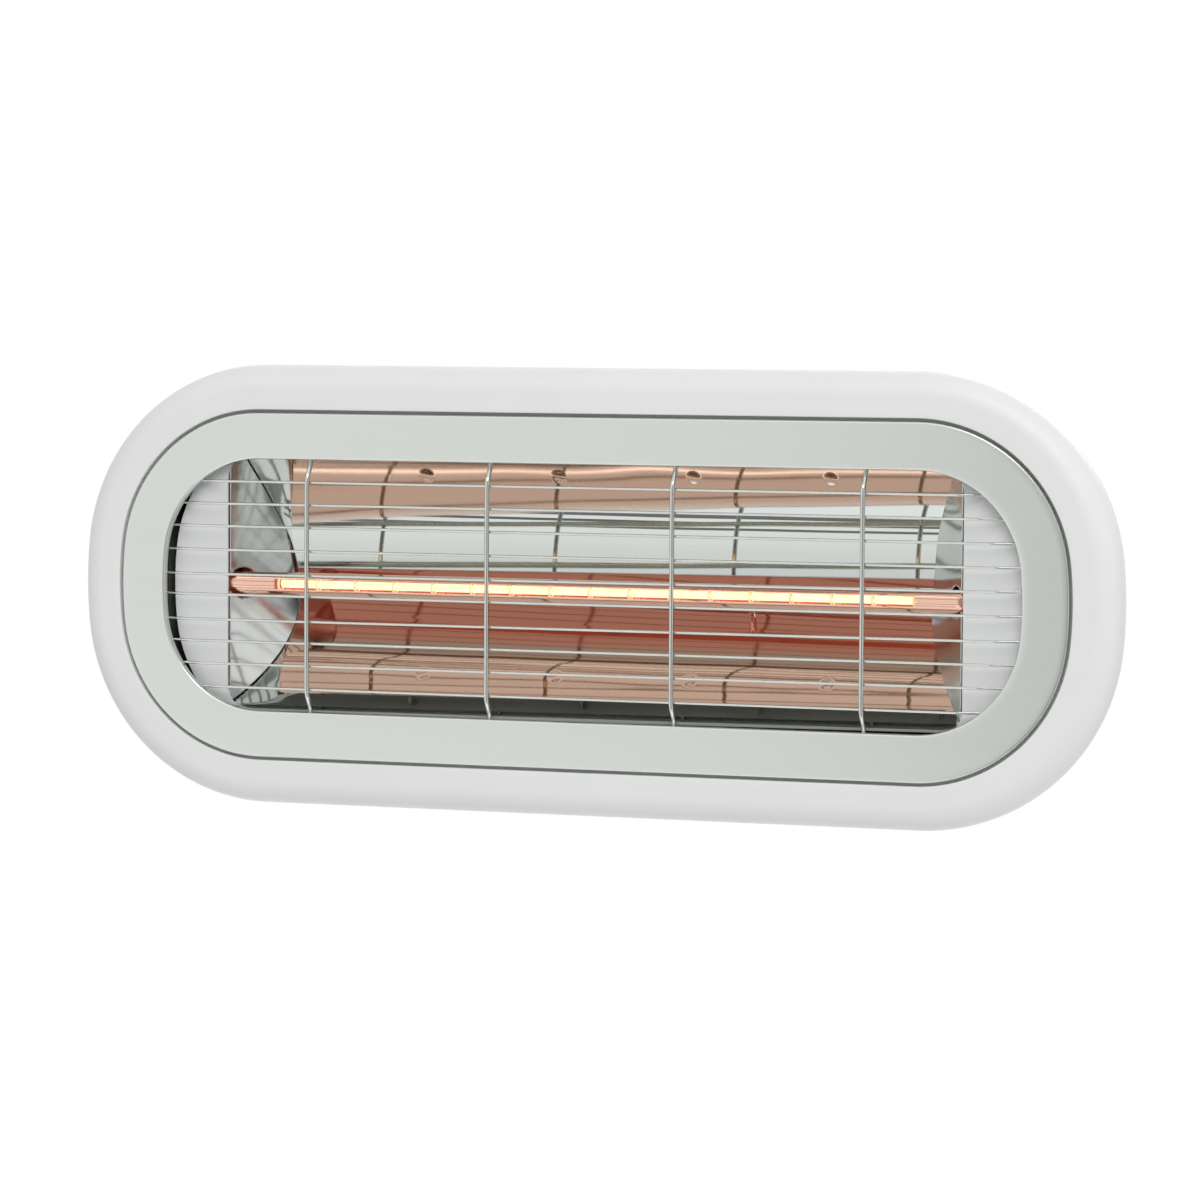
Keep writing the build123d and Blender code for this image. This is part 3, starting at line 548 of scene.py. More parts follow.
@dataclass
class Finishes:
    """Every finish of the heater, made once."""

    cast: bpy.types.Material = field(init=False)
    recess_shade: bpy.types.Material = field(init=False)
    casing: bpy.types.Material = field(init=False)
    bezel: bpy.types.Material = field(init=False)
    wire: bpy.types.Material = field(init=False)
    plate: bpy.types.Material = field(init=False)
    mirror: bpy.types.Material = field(init=False)
    end_mirror: bpy.types.Material = field(init=False)
    quartz: bpy.types.Material = field(init=False)
    filament: bpy.types.Material = field(init=False)
    disc: bpy.types.Material = field(init=False)
    ceramic: bpy.types.Material = field(init=False)
    spring: bpy.types.Material = field(init=False)
    shield: bpy.types.Material = field(init=False)
    screw: bpy.types.Material = field(init=False)
    rubber: bpy.types.Material = field(init=False)
    nylon: bpy.types.Material = field(init=False)
    sleeve: bpy.types.Material = field(init=False)
    bracket: bpy.types.Material = field(init=False)

    def __post_init__(self) -> None:
        """Builds the materials."""
        self.paints()
        self.metals()
        self.lamp_finishes()
        self.plastics()

    def paints(self) -> None:
        """Builds the paints."""
        hollow_shade, pale = (0.07, 0.07, 0.065), (0.77, 0.78, 0.77)
        # The casing's inner faces get the near black as painted shade of its unlit inside.
        casing = PowderCoat("casing_paint", pale, roughness=0.5, peel=1.8 * MM, inside=hollow_shade)
        plate = PowderCoat("plate_enamel", (0.78, 0.79, 0.79), roughness=0.35, peel=2.5 * MM)
        # Mid grey painted shade for the unlit recess behind the bezel, laid on the frame's inner faces.
        recess_shade = PowderCoat("frame_inside_primer", (0.45, 0.45, 0.44), roughness=0.6)
        self.cast = PowderCoat("cast_frame_paint", (0.79, 0.80, 0.79)).make()
        self.recess_shade = recess_shade.make()
        self.casing = casing.make()
        self.bracket = PowderCoat("bracket_paint", (0.72, 0.73, 0.72), roughness=0.48).make()
        self.plate = plate.make()

    def metals(self) -> None:
        """Builds the bare metals."""
        lengthwise, upright = Grain.ALONG_X, Grain.ALONG_Z
        self.bezel = Metal(
            "bezel_satin_steel",
            (0.66, 0.69, 0.655),
            roughness=0.3,
            grain=lengthwise,
            mark=0.35 * MM,
            mark_depth=0.0008 * MM,
            streak=0.01,
            spread=0.06,
        ).make()
        self.mirror = Metal(
            "trough_mirror_sheet",
            (0.555, 0.585, 0.56),
            roughness=0.025,
            grain=lengthwise,
            mark=3 * MM,
            mark_depth=0.0002 * MM,
            streak=0.01,
        ).make()
        self.end_mirror = Metal(
            "end_mirror_sheet",
            (0.63, 0.645, 0.63),
            roughness=0.11,
            grain=upright,
            mark=3 * MM,
            mark_depth=0.001 * MM,
        ).make()
        spring = Metal("spring_steel_strip", (0.52, 0.52, 0.51), 0.32, upright, mark=1 * MM)
        shield = Metal("mill_finish_sheet", (0.70, 0.71, 0.71), 0.38, lengthwise, mark=1.2 * MM)
        screw = Metal("screw_steel", (0.60, 0.60, 0.58), 0.28, mark=0.8 * MM, mark_depth=0.004 * MM)
        self.wire = Metal("guard_bright_wire", (0.62, 0.64, 0.60), 0.16, mark=1.5 * MM).make()
        self.spring = spring.make()
        self.shield = shield.make()
        self.screw = screw.make()

    def lamp_finishes(self) -> None:
        """Builds the finishes of the lamp and its fittings."""
        # The coating's glow colours are painted glow for the filament's light on it. The redder copper and
        # red glow of its back are painted reflection of light bounced between tube and trough.
        copper, back_reflection_paint = (0.76, 0.51, 0.40), (0.62, 0.33, 0.245)
        coat_glow_paint, back_glow_paint = (0.29, 0.06, 0.03), (1.0, 0.13, 0.07)
        yellow, white = (1.0, 0.80, 0.48), (1.0, 0.92, 0.58)
        orange, amber = (1.0, 0.55, 0.3), (1.0, 0.66, 0.4)
        self.quartz = CoatedQuartz("lamp_coated_quartz", copper, coat_glow_paint, back_reflection_paint, back_glow_paint).make()
        self.filament = Glow("filament_white_heat", yellow, white, strength=1.2).make()
        self.disc = Glow("support_disc_red_heat", orange, amber, strength=0.9).make()
        self.ceramic = Matt("lamp_cap_ceramic", (0.80, 0.78, 0.73), roughness=0.7).make()
        self.sleeve = Matt(
            "lead_glass_sleeve",
            (0.74, 0.72, 0.64),
            roughness=0.8,
            grain_size=0.5 * MM,
            grain_depth=0.08 * MM,
        ).make()

    def plastics(self) -> None:
        """Builds the rubber and the nylon."""
        self.rubber = Matt("seal_silicone", (0.035, 0.035, 0.035), roughness=0.6).make()
        self.nylon = Matt(
            "gland_nylon",
            (0.045, 0.045, 0.048),
            roughness=0.45,
            grain_size=1.2 * MM,
            grain_depth=0.02 * MM,
        ).make()


def dress(node: str, material: bpy.types.Material) -> None:
    """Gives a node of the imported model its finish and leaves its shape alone.

    Args:
        node: the node's name.
        material: the finish.
    """
    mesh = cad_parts[node].data
    mesh.materials.clear()
    mesh.materials.append(material)
    LOG.info("dressed %s", node)


def piece(
    name: str,
    mesh: bpy.types.Mesh,
    material: bpy.types.Material,
    body: str,
    stands_for: Sequence[str] = (),
    sharp: float = 35.0,
    second: bpy.types.Material | None = None,
) -> bpy.types.Object:
    """Turns a mesh into a finished piece that rides on a body.

    Args:
        name: the piece's name.
        mesh: its mesh.
        material: its finish.
        body: the body that it moves with.
        stands_for: nodes that it replaces.
        sharp: angle in degrees over which an edge stays sharp.
        second: finish of the faces whose material index is 1.

    Returns:
        The new object.
    """
    mesh.name = name
    mesh.shade_smooth()
    mesh.set_sharp_from_angle(angle=math.radians(sharp))
    mesh.materials.append(material)
    if second:
        mesh.materials.append(second)
    thing = bpy.data.objects.new(name, mesh)
    bpy.context.scene.collection.objects.link(thing)
    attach(thing, body)
    if stands_for:
        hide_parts(*stands_for)
    LOG.info("built %s with %d faces", name, len(mesh.polygons))
    return thing


def plain_mesh(form: bmesh.types.BMesh, name: str) -> bpy.types.Mesh:
    """Turns a bmesh into a mesh and leaves its faces' directions alone.

    Args:
        form: the bmesh, which is used up.
        name: the mesh's name.

    Returns:
        The mesh.
    """
    mesh = bpy.data.meshes.new(name)
    form.to_mesh(mesh)
    form.free()
    return mesh


def closed_mesh(form: bmesh.types.BMesh) -> bpy.types.Mesh:
    """Turns a closed bmesh into a mesh whose faces point outwards."""
    bmesh.ops.recalc_face_normals(form, faces=form.faces)
    return plain_mesh(form, "form")


def skin(
    form: bmesh.types.BMesh, rows: Sequence[Sequence[Vector]], wrap_rows: bool, wrap_columns: bool
) -> None:
    """Lays quads over a grid of points.

    Args:
        form: the bmesh to add to.
        rows: points, row by row, all rows equally long.
        wrap_rows: joins the last row to the first.
        wrap_columns: joins the last column to the first.
    """
    grid = [[form.verts.new(point) for point in row] for row in rows]
    height, width = len(grid), len(grid[0])
    for i in range(height if wrap_rows else height - 1):
        for j in range(width if wrap_columns else width - 1):
            a, b = grid[i], grid[(i + 1) % height]
            k = (j + 1) % width
            form.faces.new((a[j], a[k], b[k], b[j]))


def turns(sides: int) -> list[float]:
    """The angles of a ring's points, in radians."""
    return [2 * math.pi * k / sides for k in range(sides)]


def cap(form: bmesh.types.BMesh, first: int, sides: int) -> None:
    """Closes a ring of points with one face.

    Args:
        form: the bmesh to add to.
        first: number of the ring's first point.
        sides: how many points the ring has.
    """
    form.verts.ensure_lookup_table()
    form.faces.new([form.verts[first + k] for k in range(sides)])


def wire(form: bmesh.types.BMesh, path: Sequence[Vector], radius: float, sides: int) -> None:
    """Adds one round wire with closed ends.

    Args:
        form: the bmesh to add to.
        path: points along its middle, already smooth.
        radius: the wire's radius.
        sides: faces round the wire.
    """
    across = (path[1] - path[0]).orthogonal().normalized()
    rows = []
    for i, point in enumerate(path):
        ahead = (path[min(i + 1, len(path) - 1)] - path[max(i - 1, 0)]).normalized()
        across = (across - ahead * across.dot(ahead)).normalized()
        other = ahead.cross(across)
        rows.append([point + (across * math.cos(t) + other * math.sin(t)) * radius for t in turns(sides)])
    first = len(form.verts)
    skin(form, rows, False, True)
    form.verts.ensure_lookup_table()
    form.faces.new([form.verts[first + k] for k in range(sides)][::-1])
    form.faces.new([form.verts[len(form.verts) - sides + k] for k in range(sides)])


def rounded(corner_points: Sequence[Vector], radius: float, steps: int = 8) -> list[Vector]:
    """A path through points with each inner corner rounded.

    Args:
        corner_points: the path's corners.
        radius: how far from a corner the bend starts.
        steps: points in each bend.

    Returns:
        The points of the smooth path.
    """
    path = [corner_points[0]]
    for before, corner, after in zip(corner_points, corner_points[1:], corner_points[2:]):
        start = corner + (before - corner).normalized() * radius
        end = corner + (after - corner).normalized() * radius
        for k in range(steps + 1):
            t = k / steps
            path.append((1 - t) ** 2 * start + 2 * t * (1 - t) * corner + t * t * end)
    path.append(corner_points[-1])
    return path


@dataclass
class Front:
    """The outline that the frame, the bezel and the guard share, with its depth scale."""

    end_r: float = 170.4 * MM
    corner_r: float = 65.2 * MM
    end_steps: int = 40
    corner_steps: int = 26
    flat_steps: int = 12
    half_w: float = field(init=False)
    half_h: float = field(init=False)
    face_y: float = field(init=False)
    ring: list[tuple[float, float, float, float]] = field(init=False)

    def __post_init__(self) -> None:
        """Reads the bezel's box and works out the outline's points and normals."""
        low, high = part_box("bezel")
        self.half_w = high.x
        self.half_h = high.z
        self.face_y = low.y
        quarter = self.quarter()
        right = quarter + [(x, -z, nx, -nz) for x, z, nx, nz in reversed(quarter[:-1])]
        left = [(-x, z, -nx, nz) for x, z, nx, nz in reversed(right)]
        self.ring = right + left

    def arc_centres(self) -> tuple[float, float, float, float]:
        """Centres of the end arc and of the corner arc, and the angle where they meet.

        Returns:
            The end arc's x, the corner arc's x and z, and the angle above level.
        """
        end_x = self.half_w - self.end_r
        corner_z = self.half_h - self.corner_r
        corner_x = end_x + math.sqrt((self.end_r - self.corner_r) ** 2 - corner_z**2)
        return end_x, corner_x, corner_z, math.atan2(corner_z, corner_x - end_x)

    def quarter(self) -> list[tuple[float, float, float, float]]:
        """The upper right quarter, from the top's middle to the end's middle.

        Returns:
            The points, each as its x and z and its normal's x and z.
        """
        end_x, corner_x, corner_z, meet = self.arc_centres()
        points = [(corner_x * k / self.flat_steps, self.half_h, 0.0, 1.0) for k in range(self.flat_steps)]
        for k in range(self.corner_steps):
            t = math.pi / 2 + (meet - math.pi / 2) * k / self.corner_steps
            nx, nz = math.cos(t), math.sin(t)
            points.append((corner_x + self.corner_r * nx, corner_z + self.corner_r * nz, nx, nz))
        for k in range(self.end_steps + 1):
            t = meet * (1 - k / self.end_steps)
            nx, nz = math.cos(t), math.sin(t)
            points.append((end_x + self.end_r * nx, self.end_r * nz, nx, nz))
        return points

    def sweep(self, profile: Profile, inside: range = range(0)) -> bpy.types.Mesh:
        """Runs a closed profile round the outline.

        Args:
            profile: points as growth of the outline and depth behind the bezel's front.
            inside: numbers of the profile's sides that get the second finish.

        Returns:
            The mesh.
        """
        form = bmesh.new()
        rows = []
        for x, z, nx, nz in self.ring:
            rows.append([Vector((x + g * nx, self.face_y + d, z + g * nz)) for g, d in profile])
        skin(form, rows, True, True)
        for number, face in enumerate(form.faces):
            face.material_index = int(number % len(profile) in inside)
        return closed_mesh(form)

    def half_width_at(self, grow: float, z: float) -> float:
        """Half the outline's width at one height.

        Args:
            grow: how far the outline is grown.
            z: the height.

        Returns:
            The distance from the middle to the outline.
        """
        end_x, corner_x, corner_z, meet = self.arc_centres()
        if abs(z) < (self.end_r + grow) * math.sin(meet):
            return end_x + math.sqrt((self.end_r + grow) ** 2 - z * z)
        return corner_x + math.sqrt((self.corner_r + grow) ** 2 - (abs(z) - corner_z) ** 2)


def arc(centre: tuple[float, float], radius: float, quarter: Quarter, steps: int) -> Profile:
    """A round corner in the profile plane.

    Args:
        centre: growth and depth of the arc's centre.
        radius: the arc's radius.
        quarter: which quarter of the circle it is.
        steps: number of chords.

    Returns:
        The arc's points.
    """
    start, end = quarter.value
    angles = [math.radians(start + (end - start) * k / steps) for k in range(steps + 1)]
    return [(centre[0] + radius * math.cos(t), centre[1] + radius * math.sin(t)) for t in angles]


@dataclass
class FrontFrame:
    """Cast frame with the bezel set into it."""

    front: Front
    edge_r: float = 10.5 * MM
    wall: float = 3.2 * MM
    bezel_gap: float = 1.3 * MM
    seat_depth: float = 3.4 * MM
    web: float = 3.0 * MM
    inner_w: float = 15.0 * MM
    soft_edge: float = 0.5 * MM
    flat_start: float = 3.0 * MM
    flat_end: float = 2.0 * MM
    edge_steps: int = 20
    inner_steps: int = 4
    rear_steps: int = 3

    def build(self, finishes: Finishes) -> None:
        """Builds the frame's casting.

        Args:
            finishes: the heater's finishes.
        """
        low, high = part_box("front_frame")
        rim = high.x - self.front.half_w
        deep = high.y - low.y
        soft = self.soft_edge
        back = self.seat_depth + self.web
        profile = arc((self.bezel_gap + soft, soft), soft, Quarter.INNER_FRONT, self.inner_steps)
        profile += [(self.bezel_gap + self.flat_start, 0.0), (rim - self.edge_r - self.flat_end, 0.0)]
        profile += arc((rim - self.edge_r, self.edge_r), self.edge_r, Quarter.OUTER_FRONT, self.edge_steps)
        profile += [(rim, deep - soft)]
        profile += arc((rim - soft, deep - soft), soft, Quarter.OUTER_BACK, self.rear_steps)
        # From here on the profile runs round the unlit recess behind the bezel, whose faces get the second
        # finish as painted shade.
        inside = len(profile)
        profile += [(rim - self.wall, deep), (rim - self.wall, back), (-self.inner_w, back)]
        profile += [(-self.inner_w, self.seat_depth), (self.bezel_gap, self.seat_depth)]
        mesh = self.front.sweep(profile, range(inside, len(profile) - 1))
        piece(
            "frame_casting",
            mesh,
            finishes.cast,
            "heater",
            ["front_frame"],
            second=finishes.recess_shade,
        )


@dataclass
class Bezel:
    """Pressed steel ring with its edges turned back."""

    front: Front
    width: float = 20.3 * MM
    sheet: float = 1.2 * MM
    edge_r: float = 1.1 * MM
    edge_steps: int = 8
    flat_inset: float = 3.3 * MM

    def build(self, finishes: Finishes) -> None:
        """Builds the ring.

        Args:
            finishes: the heater's finishes.
        """
        low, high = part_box("bezel")
        lip = high.y - low.y
        r = self.edge_r
        inner = -self.width
        profile = arc((inner + r, r), r, Quarter.INNER_FRONT, self.edge_steps)
        profile += [(inner + self.flat_inset, 0.0), (inner / 2, 0.0), (-self.flat_inset, 0.0)]
        profile += arc((-r, r), r, Quarter.OUTER_FRONT, self.edge_steps)
        profile += [(0.0, lip), (-self.sheet, lip), (-self.sheet, self.sheet)]
        profile += [(inner + self.sheet, self.sheet), (inner + self.sheet, lip), (inner, lip)]
        piece("bezel_ring", self.front.sweep(profile), finishes.bezel, "heater", ["bezel"])


@dataclass
class Guard:
    """Ten thin rods behind four upright bars, their ends bent back behind the bezel."""

    front: Front
    rod_r: float = 0.6 * MM
    bar_r: float = 1.0 * MM
    rod_pitch: float = 10.0 * MM
    bars: int = 4
    bar_pitch: float = 83.8 * MM
    bar_depth: float = -0.4 * MM
    rod_depth: float = 1.2 * MM
    rear: float = 3.4 * MM
    run: float = 7.5 * MM
    bend: float = 2.6 * MM
    end_gap: float = 0.8 * MM
    bezel_w: float = 20.3 * MM
    frame_inner_w: float = 15.0 * MM
    rod_sides: int = 14
    bar_sides: int = 18
    left_drift: tuple[float, ...] = (0.0, 0.2, 0.4, 0.0, -0.7, 0.4, -0.6, 0.0, 0.1, 0.0)
    right_drift: tuple[float, ...] = (0.0, 0.2, 0.2, 0.3, 0.3, 0.2, -0.2, 0.0, 0.3, -0.2)

    def rod_path(self, z: float, left: float, right: float) -> list[Vector]:
        """One rod's middle line.

        Args:
            z: the rod's height.
            left: how much higher its left end was welded.
            right: how much higher its right end was welded.

        Returns:
            The line's points.
        """
        tip = self.front.half_width_at(-self.frame_inner_w - self.end_gap, z)
        lip = self.front.half_width_at(-self.bezel_w, z) - 2 * self.rod_r
        y_front = self.front.face_y + self.rod_depth
        y_back = self.front.face_y + self.rear + self.rod_r
        half = [(lip - self.run, y_front), (lip, y_back), (tip, y_back)]
        points = [Vector((-x, y, z + left)) for x, y in reversed(half)]
        points += [Vector((x, y, z + right)) for x, y in half]
        return rounded(points, self.bend)

    def bar_path(self, x: float) -> list[Vector]:
        """One bar's middle line.

        Args:
            x: the bar's place.

        Returns:
            The line's points.
        """
        lip = self.front.half_h - self.bezel_w - self.bar_r
        tip = self.front.half_h - self.frame_inner_w - self.end_gap
        y_front = self.front.face_y + self.bar_depth
        y_back = self.front.face_y + self.rear + self.bar_r
        half = [(lip - self.run, y_front), (lip, y_back), (tip, y_back)]
        points = [Vector((x, y, -z)) for z, y in reversed(half)] + [Vector((x, y, z)) for z, y in half]
        return rounded(points, self.bend)

    def build(self, finishes: Finishes) -> None:
        """Builds the rods and bars and dresses the rim.

        Args:
            finishes: the heater's finishes.
        """
        rods = bmesh.new()
        highest = (len(self.left_drift) - 1) / 2 * self.rod_pitch
        for i, (left, right) in enumerate(zip(self.left_drift, self.right_drift)):
            path = self.rod_path(highest - i * self.rod_pitch, left * MM, right * MM)
            wire(rods, path, self.rod_r, self.rod_sides)
        stands_for = ["guard_rods", "guard_rod_ends"]
        piece("guard_long_rods", closed_mesh(rods), finishes.wire, "heater", stands_for)
        bars = bmesh.new()
        for i in range(self.bars):
            path = self.bar_path((i - (self.bars - 1) / 2) * self.bar_pitch)
            wire(bars, path, self.bar_r, self.bar_sides)
        stands_for = ["guard_bars"]
        piece("guard_upright_bars", closed_mesh(bars), finishes.wire, "heater", stands_for)
        dress("guard_rim", finishes.spring)


def lamp_axis() -> tuple[float, float]:
    """The y and z of the lamp's middle line."""
    low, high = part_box("lamp_filament")
    return (low.y + high.y) / 2, (low.z + high.z) / 2


def thicken(thing: bpy.types.Object, sheet: float, offset: float) -> None:
    """Gives a sheet its thickness, on the side away from the light.

    Args:
        thing: the piece.
        sheet: thickness.
        offset: -1 or 1, the side that grows.
    """
    solid = thing.modifiers.new("sheet", "SOLIDIFY")
    solid.thickness = sheet
    solid.offset = offset
    solid.use_even_offset = True


@dataclass
class Trough:
    """Parabolic mirror trough with two rows of pressed dimples."""

    front: Front
    focal: float = 28.0 * MM
    depth: float = 41.0 * MM
    rise: float = 8.0 * MM
    mouth_top: float = 57.5 * MM
    flange: float = 4.3 * MM
    lip_bend: float = 0.3 * MM
    sheet: float = 0.8 * MM
    roll: float = 0.008
    wave: float = 0.03 * MM
    wave_length: float = 45 * MM
    wave_seed: float = 4.0
    wave_fade: int = 8
    dimple_r: float = 3.6 * MM
    dimple_depth: float = 0.055 * MM
    dimple_columns: int = 4
    dimple_pitch: float = 61.3 * MM
    dimple_shift: float = 11.7 * MM
    dimple_mid: float = 5.6 * MM
    dimple_row: float = 43.1 * MM
    crease: tuple[float, float, float] = (6.5 * MM, 2.5 * MM, -3.5 * MM)
    crease_depth: float = 0.42 * MM
    curl_top: float = -40.0 * MM
    curl_run: float = 8.8 * MM
    curl_slope: float = 0.045
    step_x: float = 2.5 * MM
    step_z: float = 1.0 * MM
    step_fine: float = 0.45 * MM
    step_slack: float = 0.2
    fine_margin: float = 1.2 * MM
    half_l: float = field(init=False)
    flange_y: float = field(init=False)
    vertex_y: float = field(init=False)
    low_z: float = field(init=False)

    def __post_init__(self) -> None:
        """Reads the trough's length and its flange's plane from the frame."""
        low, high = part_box("reflector_trough")
        self.half_l = high.x
        self.flange_y = low.y
        self.vertex_y = self.front.face_y + self.depth
        self.low_z = self.rise - math.sqrt(4 * self.focal * (self.vertex_y - self.flange_y))

    def face_y(self, z: float) -> float:
        """The parabola's y at height z."""
        return self.vertex_y - (z - self.rise) ** 2 / (4 * self.focal)

    def normal(self, z: float) -> Vector:
        """The parabola's normal at height z, pointing into the trough."""
        return Vector((0.0, -1.0, -(z - self.rise) / (2 * self.focal))).normalized()

    def dimples(self) -> list[tuple[float, float]]:
        """The dimples' places.

        Returns:
            Each dimple's x and z.
        """
        columns = [i - (self.dimple_columns - 1) / 2 for i in range(self.dimple_columns)]
        xs = [self.dimple_shift + column * self.dimple_pitch for column in columns]
        return [(x, self.dimple_mid + side * self.dimple_row) for x in xs for side in (-1, 1)]

    def spaced(self, low: float, high: float, coarse: float, near: Sequence[float]) -> list[float]:
        """Grid lines that are close together near some places.

        Args:
            low: first line.
            high: last line.
            coarse: step away from the places.
            near: the places, such as the middles of the dimples.

        Returns:
            The lines' places.
        """
        lines = [low]
        reach = self.dimple_r + self.fine_margin
        while lines[-1] < high - self.step_slack * coarse:
            at = lines[-1]
            gap = min(max(0.0, abs(at - middle) - reach) for middle in near)
            ahead = [middle - reach - at for middle in near if middle - reach > at + TINY]
            step = min([coarse] + [max(self.step_fine, distance) for distance in ahead])
            lines.append(min(high, at + (self.step_fine if gap <= TINY else step)))
        lines[-1] = high
        return lines

    def press(self, x: float, z: float) -> float:
        """How far the dimples push the sheet at one place.

        Args:
            x: the place's x.
            z: its height before the roll.

        Returns:
            The distance along the normal, 0 or less.
        """
        push = 0.0
        for at_x, at_z in self.dimples():
            slope = (at_z - self.rise) / (2 * self.focal)
            off = math.hypot(x - at_x, (z - at_z) * math.hypot(1, slope))
            if off < self.dimple_r:
                push -= self.dimple_depth * (1 - (off / self.dimple_r) ** 2) ** 1.5
        return push

    def bend(self, z: float) -> float:
        """How far the crease behind the lamp and the curl of the lower lip bend the sheet.

        Args:
            z: the height before the roll.

        Returns:
            The distance off the parabola, positive backwards.
        """
        top, deepest, low = self.crease
        fold = max(0.0, min((top - z) / (top - deepest), (z - low) / (deepest - low)))
        run = min(1.0, max(0.0, (self.curl_top - z) / self.curl_run))
        curl = self.curl_slope * self.curl_run / 2 * (run - math.sin(2 * math.pi * run) / (2 * math.pi))
        return self.crease_depth * fold - curl

    def point(self, x: float, z: float) -> Vector:
        """A point of the reflecting face, with its roll, waves, dimples, crease and curl.

        Args:
            x: the point's x.
            z: its height before the roll.

        Returns:
            The point.
        """
        share = (z - self.rise) / (self.mouth_top - self.rise)
        fade = max(0.0, 1.0 - abs(share) ** self.wave_fade)
        spot = Vector((x / self.wave_length, z / self.wave_length, self.wave_seed))
        push = self.wave * noise.noise(spot) * fade + self.press(x, z)
        return Vector((x, self.face_y(z) + self.bend(z), z + self.roll * x)) + self.normal(z) * push

    def mesh(self) -> bpy.types.Mesh:
        """The trough's reflecting face with its lips.

        Returns:
            The mesh, which has no thickness yet.
        """
        columns = sorted({x for x, z in self.dimples()})
        close = sorted({z for x, z in self.dimples()} | set(self.crease[:2]))
        zs = self.spaced(self.low_z, self.mouth_top, self.step_z, close)
        rows = []
        for x in self.spaced(-self.half_l, self.half_l, self.step_x, columns):
            low, top = self.low_z + self.roll * x, self.mouth_top + self.roll * x
            below = [(0.0, low - self.flange), (0.0, low - self.lip_bend)]
            above = [(self.lip_bend, top), (0.0, top + self.lip_bend), (0.0, top + self.flange)]
            row = [Vector((x, self.flange_y + back, z)) for back, z in below]
            row += [self.point(x, z) for z in zs]
            row += [Vector((x, self.flange_y + back, z)) for back, z in above]
            rows.append(row)
        form = bmesh.new()
        skin(form, rows, False, False)
        return plain_mesh(form, "trough")

    def build(self, finishes: Finishes) -> None:
        """Builds the trough.

        Args:
            finishes: the heater's finishes.
        """
        stands_for = ["reflector_trough"]
        trough = piece("trough_sheet", self.mesh(), finishes.mirror, "heater", stands_for)
        thicken(trough, self.sheet, 1.0)


@dataclass
class EndWall:
    """One flared end wall of the trough, a thin sheet that is twisted and has a hole for the lamp."""

    trough: Trough
    side: Side
    flare: float
    twist: float
    gap: float = 1.0 * MM
    hole_r: float = 6.6 * MM
    hole_snap: float = 0.4 * MM
    swell: float = 0.35 * MM
    swell_high: float = 34 * MM
    swell_long: float = 26 * MM
    swell_seed: float = 3.0
    edge_run: float = 4.0 * MM
    rear_hold: float = 0.3
    steps: int = 90
    long: float = field(init=False)
    lamp_y: float = field(init=False)
    lamp_z: float = field(init=False)

    def __post_init__(self) -> None:
        """Works out the wall's length from front to back and reads the lamp's axis."""
        self.long = self.trough.vertex_y - self.trough.flange_y - 2 * self.gap
        self.lamp_y, self.lamp_z = lamp_axis()

    def snapped(self, y: float, z: float) -> tuple[float, float]:
        """Moves a point onto the rim of the lamp's hole if it is close to it.

        Args:
            y: the point's y.
            z: its height.

        Returns:
            The y and z to use.
        """
        off = math.hypot(y - self.lamp_y, z - self.lamp_z)
        if abs(off - self.hole_r) > self.hole_snap:
            return y, z
        grow = self.hole_r / off
        return self.lamp_y + (y - self.lamp_y) * grow, self.lamp_z + (z - self.lamp_z) * grow

    def in_hole(self, point: Vector) -> bool:
        """Tells whether a point lies in the lamp's hole."""
        return math.hypot(point.y - self.lamp_y, point.z - self.lamp_z) < self.hole_r

    def push(self, run: float, z: float) -> float:
        """How far the thin sheet swells out of its twisted plane.

        Args:
            run: distance behind the flange.
            z: height.

        Returns:
            The push, positive away from the trough's middle.
        """
        edge = min(1.0, run / self.edge_run, (self.long - run) / self.edge_run + self.rear_hold)
        spot = Vector((z / self.swell_high, run / self.swell_long, self.swell_seed * self.side.value))
        return max(0.0, edge) * self.swell * noise.noise(spot)

    def point(self, y: float, z: float) -> Vector:
        """A point of the wall.

        Args:
            y: the point's y, before it is moved to the hole's rim.
            z: its height, likewise.

        Returns:
            The point.
        """
        y, z = self.snapped(y, z)
        run = y - self.trough.flange_y
        x = self.trough.half_l - (self.flare - self.twist * z) * run + self.push(run, z)
        return Vector((self.side.value * x, y, z))

    def mesh(self) -> bpy.types.Mesh:
        """The wall's reflecting face.

        Returns:
            The mesh, which has no thickness yet.
        """
        trough = self.trough
        middle = trough.rise + self.side.value * trough.roll * trough.half_l
        across = 2 * self.steps
        rows = []
        for i in range(self.steps + 1):
            y = trough.flange_y + self.long * i / self.steps
            reach = math.sqrt(4 * trough.focal * (trough.vertex_y - y))
            low = middle - reach + self.gap
            high = min(trough.mouth_top - self.gap, middle + reach - self.gap)
            rows.append([self.point(y, low + (high - low) * j / across) for j in range(across + 1)])
        form = bmesh.new()
        skin(form, rows, False, False)
        open_faces = [face for face in form.faces if self.in_hole(face.calc_center_median())]
        bmesh.ops.delete(form, geom=open_faces, context="FACES")
        return plain_mesh(form, "end")

    def build(self, finishes: Finishes) -> None:
        """Builds the wall.

        Args:
            finishes: the heater's finishes.
        """
        end = self.side.name.lower()
        stands_for = [f"end_reflector_{end}"]
        mesh = self.mesh()
        wall = piece(f"end_wall_{end}", mesh, finishes.end_mirror, "heater", stands_for)
        thicken(wall, self.trough.sheet, self.side.value)


